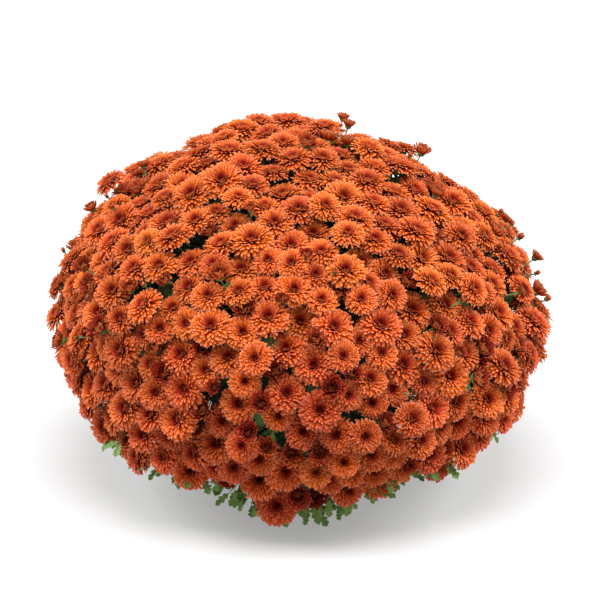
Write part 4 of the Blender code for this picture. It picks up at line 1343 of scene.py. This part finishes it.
pot_plastic = make_pot_plastic()
print("material", pot_plastic.name, "with", len(pot_plastic.node_tree.nodes), "nodes")

# %% [markdown]
# ## Peat
# The growing medium is milled peat, damp and almost black, with lighter fibres and a few
# white grains of perlite. A photograph of soil would repeat itself, so a fine noise gives
# the crumb its two browns and its bump, and the grains of perlite are those loose crumbs
# whose mark lies near 1.

# %% Peat material
PEAT_CRUMB = 2.5 * MM
PERLITE_ABOVE = 0.93


def make_peat():
    """Damp milled peat with fibres, bark and perlite."""
    material, tree, surface = new_material("peat_milled_damp")
    growth = add_node(tree, "Attribute", out="Vector", attribute_name="growth")
    tone = add_node(tree, "SeparateXYZ", {"Vector": growth}).node.outputs[2]
    place = add_node(tree, "TexCoord", out="Object")
    crumb = add_node(tree, "TexNoise", {
        "Vector": place, "Scale": 1 / PEAT_CRUMB, "Detail": 6.0, "Roughness": 0.7,
    })
    inputs = {FACTOR: crumb, FIRST: linear("#1A110B"), SECOND: linear("#4A3524")}
    colour = add_node(tree, "Mix", inputs, **BLEND)
    perlite = add_node(tree, "Math", {0: tone, 1: PERLITE_ABOVE}, operation="GREATER_THAN")
    colour = add_node(tree, "Mix", {FACTOR: perlite, FIRST: colour, SECOND: linear("#C9C4B8")}, **BLEND)
    bump = add_node(tree, "Bump", {"Strength": 0.8, "Distance": 1.0 * MM, "Height": crumb})
    skin = add_node(tree, "BsdfPrincipled", {
        "Base Color": colour, "Normal": bump, "Roughness": 0.9, "IOR": 1.4,
    })
    tree.links.new(skin, surface)
    return material


peat = make_peat()
print("material", peat.name, "with", len(peat.node_tree.nodes), "nodes")

# %% [markdown]
# ## Pot
# No one sees the pot from the front, but from low down its outline shows under the blooms.
# It could be a plain cylinder with a Solidify modifier, but a real pot has a gripping band
# round its rim, rounded lips and drain holes. So its wall is turned from one profile that
# runs up the outside and down the inside, and the holes are drilled with a Boolean.

# %% Turn the pot
POT_SIDES = 96
POT_CORNER = 3 * MM
POT_LIP = 1.0 * MM
AXIS = 1e-5  # how near to the axis a profile starts and ends
DRAIN_HOLES = 6
DRAIN_RADIUS = 5 * MM
DRAIN_CIRCLE = 44 * MM
DRILL_SIDES = 24
MERGE = 0.03 * MM  # closes the turned wall on the pot's axis
SHARP_CORNER = math.radians(40)


def pot_inner_radius(z):
    """Radius of the pot's inside at a height."""
    return POT_BASE_RADIUS + (POT_RIM_RADIUS - RIM_STEP - POT_BASE_RADIUS) * z / POT_HEIGHT - POT_WALL


def turned(name, profile, sides, material):
    """A turned object from a profile that runs from the axis, out and up, and back to the axis."""
    heap = Heap()
    points = np.concatenate([ring_points(radius, z, sides) for radius, z in profile])
    heap.add(points, ring_faces(len(profile), sides), PLAIN_GROWTH, PLAIN_BLADE)
    return piece_from(name, heap, [material])


def round_corner(corner, start, end, steps=5):
    """Points along a rounded corner, for a profile."""
    start, corner, end = np.array(start), np.array(corner), np.array(end)
    return [
        tuple(start * (1 - t) ** 2 + corner * 2 * t * (1 - t) + end * t ** 2)
        for t in (k / steps for k in range(steps + 1))
    ]


def cut_drain_holes(pot):
    """Cuts the ring of drain holes through the pot's base."""
    wall, holes = bmesh.new(), bmesh.new()
    wall.from_mesh(pot.data)
    bmesh.ops.remove_doubles(wall, verts=wall.verts, dist=MERGE)
    bmesh.ops.recalc_face_normals(wall, faces=wall.faces)
    wall.to_mesh(pot.data)
    for k in range(DRAIN_HOLES):
        angle = 2 * math.pi * k / DRAIN_HOLES
        place = Matrix.Translation(level_way(angle) * DRAIN_CIRCLE)
        size = {"radius1": DRAIN_RADIUS, "radius2": DRAIN_RADIUS, "depth": 4 * POT_WALL}
        bmesh.ops.create_cone(holes, cap_ends=True, segments=DRILL_SIDES, matrix=place, **size)
    drills = add_object("drain_drills", bpy.data.meshes.new("drain_drills"))
    holes.to_mesh(drills.data)
    cut = pot.modifiers.new("drain_holes", "BOOLEAN")
    cut.operation, cut.object = "DIFFERENCE", drills
    whole = pot.evaluated_get(bpy.context.evaluated_depsgraph_get())
    pot.data = bpy.data.meshes.new_from_object(whole)
    pot.modifiers.clear()
    bpy.data.objects.remove(drills)
    wall.free()
    holes.free()


def make_pot():
    """The pot as one turned wall, with its drain holes."""
    base, rim, top = POT_BASE_RADIUS, POT_RIM_RADIUS, POT_HEIGHT
    band = top - RIM_BAND
    inner = pot_inner_radius(top)
    profile = [(AXIS, 0), (base - POT_CORNER, 0)]
    profile += round_corner((base, 0), (base - POT_CORNER, 0), (base, POT_CORNER))
    profile += [(pot_inner_radius(band) + POT_WALL, band)]
    profile += round_corner((rim, band), (rim - POT_LIP, band), (rim, band + POT_LIP))
    profile += round_corner((rim, top), (rim, top - POT_LIP), (rim - POT_LIP, top))
    profile += round_corner((inner, top), (inner + POT_LIP, top), (inner, top - POT_LIP))
    profile += [(pot_inner_radius(POT_WALL), POT_WALL), (AXIS, POT_WALL)]
    pot = turned("pot_turned", profile, POT_SIDES, pot_plastic)
    cut_drain_holes(pot)
    pot.data.set_sharp_from_angle(angle=SHARP_CORNER)
    return pot


print("pot triangles", finished(make_pot(), "pot"))

# %% [markdown]
# ## Growing medium
# The pot is filled with peat up to a little below its rim, slightly heaped round the
# trunks. Its surface could be a smooth disc with a bump, but the trunks would look planted
# in rubber. So rings of points are shaken up and down, and loose crumbs of eight faces lie
# on top, some of them the pale grains.

# %% Crumb the growing medium
SOIL_RINGS, SOIL_SIDES = 22, 72
SOIL_ROUGH = 1.3 * MM
SOIL_EDGE = 2 * MM  # how far the surface falls toward the pot's wall
CRUMBS = 900
CRUMB_SIZE = (0.8, 2.6)
CRUMB_CORNERS = np.array([(1, 0, 0), (-1, 0, 0), (0, 1, 0), (0, -1, 0), (0, 0, 1), (0, 0, -1)])
CRUMB_FACES = [
    [0, 2, 4], [2, 1, 4], [1, 3, 4], [3, 0, 4], [2, 0, 5], [1, 2, 5], [3, 1, 5], [0, 3, 5],
]


def soil_height(share):
    """The height of the heaped surface, at a share of the way from the axis to the edge."""
    return SOIL_TOP + SOIL_CROWN * (1 - share ** 2)


def make_soil():
    """The top of the peat as a rough skin with loose crumbs, over the plain plug in the pot."""
    heap = Heap()
    random = np.random.default_rng(SEED + 42)
    bottom = POT_WALL + TOUCH_GAP
    edge = pot_inner_radius(SOIL_TOP) - TOUCH_GAP * 1.6
    rings = [
        (AXIS, bottom, 0),
        (pot_inner_radius(bottom) - 0.5 * MM, bottom, 0),
        (edge, SOIL_TOP - SOIL_EDGE, 0),
    ]
    for k in range(SOIL_RINGS):
        share = 1 - (k + 0.5) / SOIL_RINGS
        rings.append((edge * share, soil_height(share), SOIL_ROUGH))
    points = []
    for radius, z, rough in rings:
        high = z + rough * random.normal(0, 1, SOIL_SIDES).clip(-1.5, 1.5)
        points.append(ring_points(radius, high, SOIL_SIDES))
    faces = ring_faces(len(rings), SOIL_SIDES)
    heap.add(np.concatenate(points), faces, PLAIN_GROWTH, PLAIN_BLADE)
    for _ in range(CRUMBS):
        share = math.sqrt(random.random())
        angle = random.uniform(0, 2 * math.pi)
        size = random.uniform(*CRUMB_SIZE) * MM
        out = (edge - SOIL_EDGE) * share
        spot = [out * math.cos(angle), out * math.sin(angle), soil_height(share) + 0.3 * size]
        shape = CRUMB_CORNERS * random.uniform(0.5, 1.0, (6, 1)) * size
        heap.add(shape + spot, CRUMB_FACES, (0.5, 0.0, random.random()), PLAIN_BLADE)
    return piece_from("growing_medium_crumbed", heap, [peat])


print("peat triangles", finished(make_soil(), "growing_medium"))

# %% [markdown]
# ## Studio
# The plant stands on a plain pale floor under an even white sky. One large softbox hangs
# above and a little in front of it, and two stand at its left and right, so that the flanks
# of the ball are as bright as its crown. A floor of plain white paint would show its far
# edge against the sky. So it is grey paper that glows a little by itself, as on a light
# table: it runs out to white, and only the soft shade under the plant stays grey.

# %% Floor and lights
FLOOR_HALF = 12.0
FLOOR_GREY = (0.34, 0.34, 0.34, 1)
FLOOR_GLOW = 0.32
WARM_WHITE = (1.0, 0.98, 0.97, 1)
SKY_STRENGTH = 0.58
BALL_MIDDLE = (0, 0, BALL_CENTRE_Z)


def make_floor_paper():
    """Matt paper sweep, lit from below."""
    material, tree, surface = new_material("floor_matt_white")
    skin = add_node(tree, "BsdfPrincipled", {
        "Base Color": FLOOR_GREY, "Roughness": 0.9, "Specular IOR Level": 0.0,
        "Emission Color": WARM_WHITE, "Emission Strength": FLOOR_GLOW,
    })
    tree.links.new(skin, surface)
    return material


def soft_light(name, place, target, size, power):
    """A square softbox that shines from place toward target."""
    lamp = bpy.data.lights.new(name, "AREA")
    lamp.size = size
    lamp.energy = power
    made = add_object(name, lamp)
    made.location = place
    made.rotation_euler = (Vector(target) - Vector(place)).to_track_quat("-Z", "Y").to_euler()


floor_mesh = bpy.data.meshes.new("floor")
floor_mesh.from_pydata([
    (-FLOOR_HALF, -FLOOR_HALF, 0), (FLOOR_HALF, -FLOOR_HALF, 0),
    (FLOOR_HALF, FLOOR_HALF, 0), (-FLOOR_HALF, FLOOR_HALF, 0),
], [], [(0, 1, 2, 3)])
floor_mesh.materials.append(make_floor_paper())
floor = add_object("floor", floor_mesh)

sky = bpy.data.worlds.new("studio_sky")
sky.use_nodes = True
sky.node_tree.nodes["Background"].inputs["Color"].default_value = (1, 1, 1, 1)
sky.node_tree.nodes["Background"].inputs["Strength"].default_value = SKY_STRENGTH
bpy.context.scene.world = sky

soft_light("softbox_above", (0.0, -3.2, 8.7), BALL_MIDDLE, 5.0, 1120)
soft_light("softbox_left", (-6.4, 0.4, 5.2), BALL_MIDDLE, 4.0, 800)
soft_light("softbox_right", (6.4, 0.4, 5.2), BALL_MIDDLE, 4.0, 860)
bpy.context.scene.view_settings.view_transform = "Standard"
print("lights:", len(bpy.data.lights), "softboxes and the sky at", SKY_STRENGTH)

# %% [markdown]
# ## Camera
# The camera looks from twenty degrees above level. A short lens close by would make the
# ball bulge toward the viewer, so a long lens from four metres away is used. It is aimed a
# little above the ball's middle, so the plant stands a little low in the picture.

# %% Camera
CAMERA_DISTANCE = 4.0
LENS = 240.0
SENSOR = 36.0
AIM_RIGHT = 1.5 * MM
AIM_UP = 17 * MM  # along the picture's own up direction

camera = add_object("camera", bpy.data.cameras.new("camera"))
camera.data.lens = LENS
camera.data.sensor_width = SENSOR
away = Vector((0, -math.cos(VIEW_RISE), math.sin(VIEW_RISE)))
picture_up = Vector((0, math.sin(VIEW_RISE), math.cos(VIEW_RISE)))
aim = Vector(BALL_MIDDLE) + Vector((AIM_RIGHT, 0, 0)) + picture_up * AIM_UP
camera.location = aim + away * CAMERA_DISTANCE
camera.rotation_euler = (-away).to_track_quat("-Z", "Y").to_euler()
bpy.context.scene.camera = camera
print("camera", [round(value, 3) for value in camera.location])
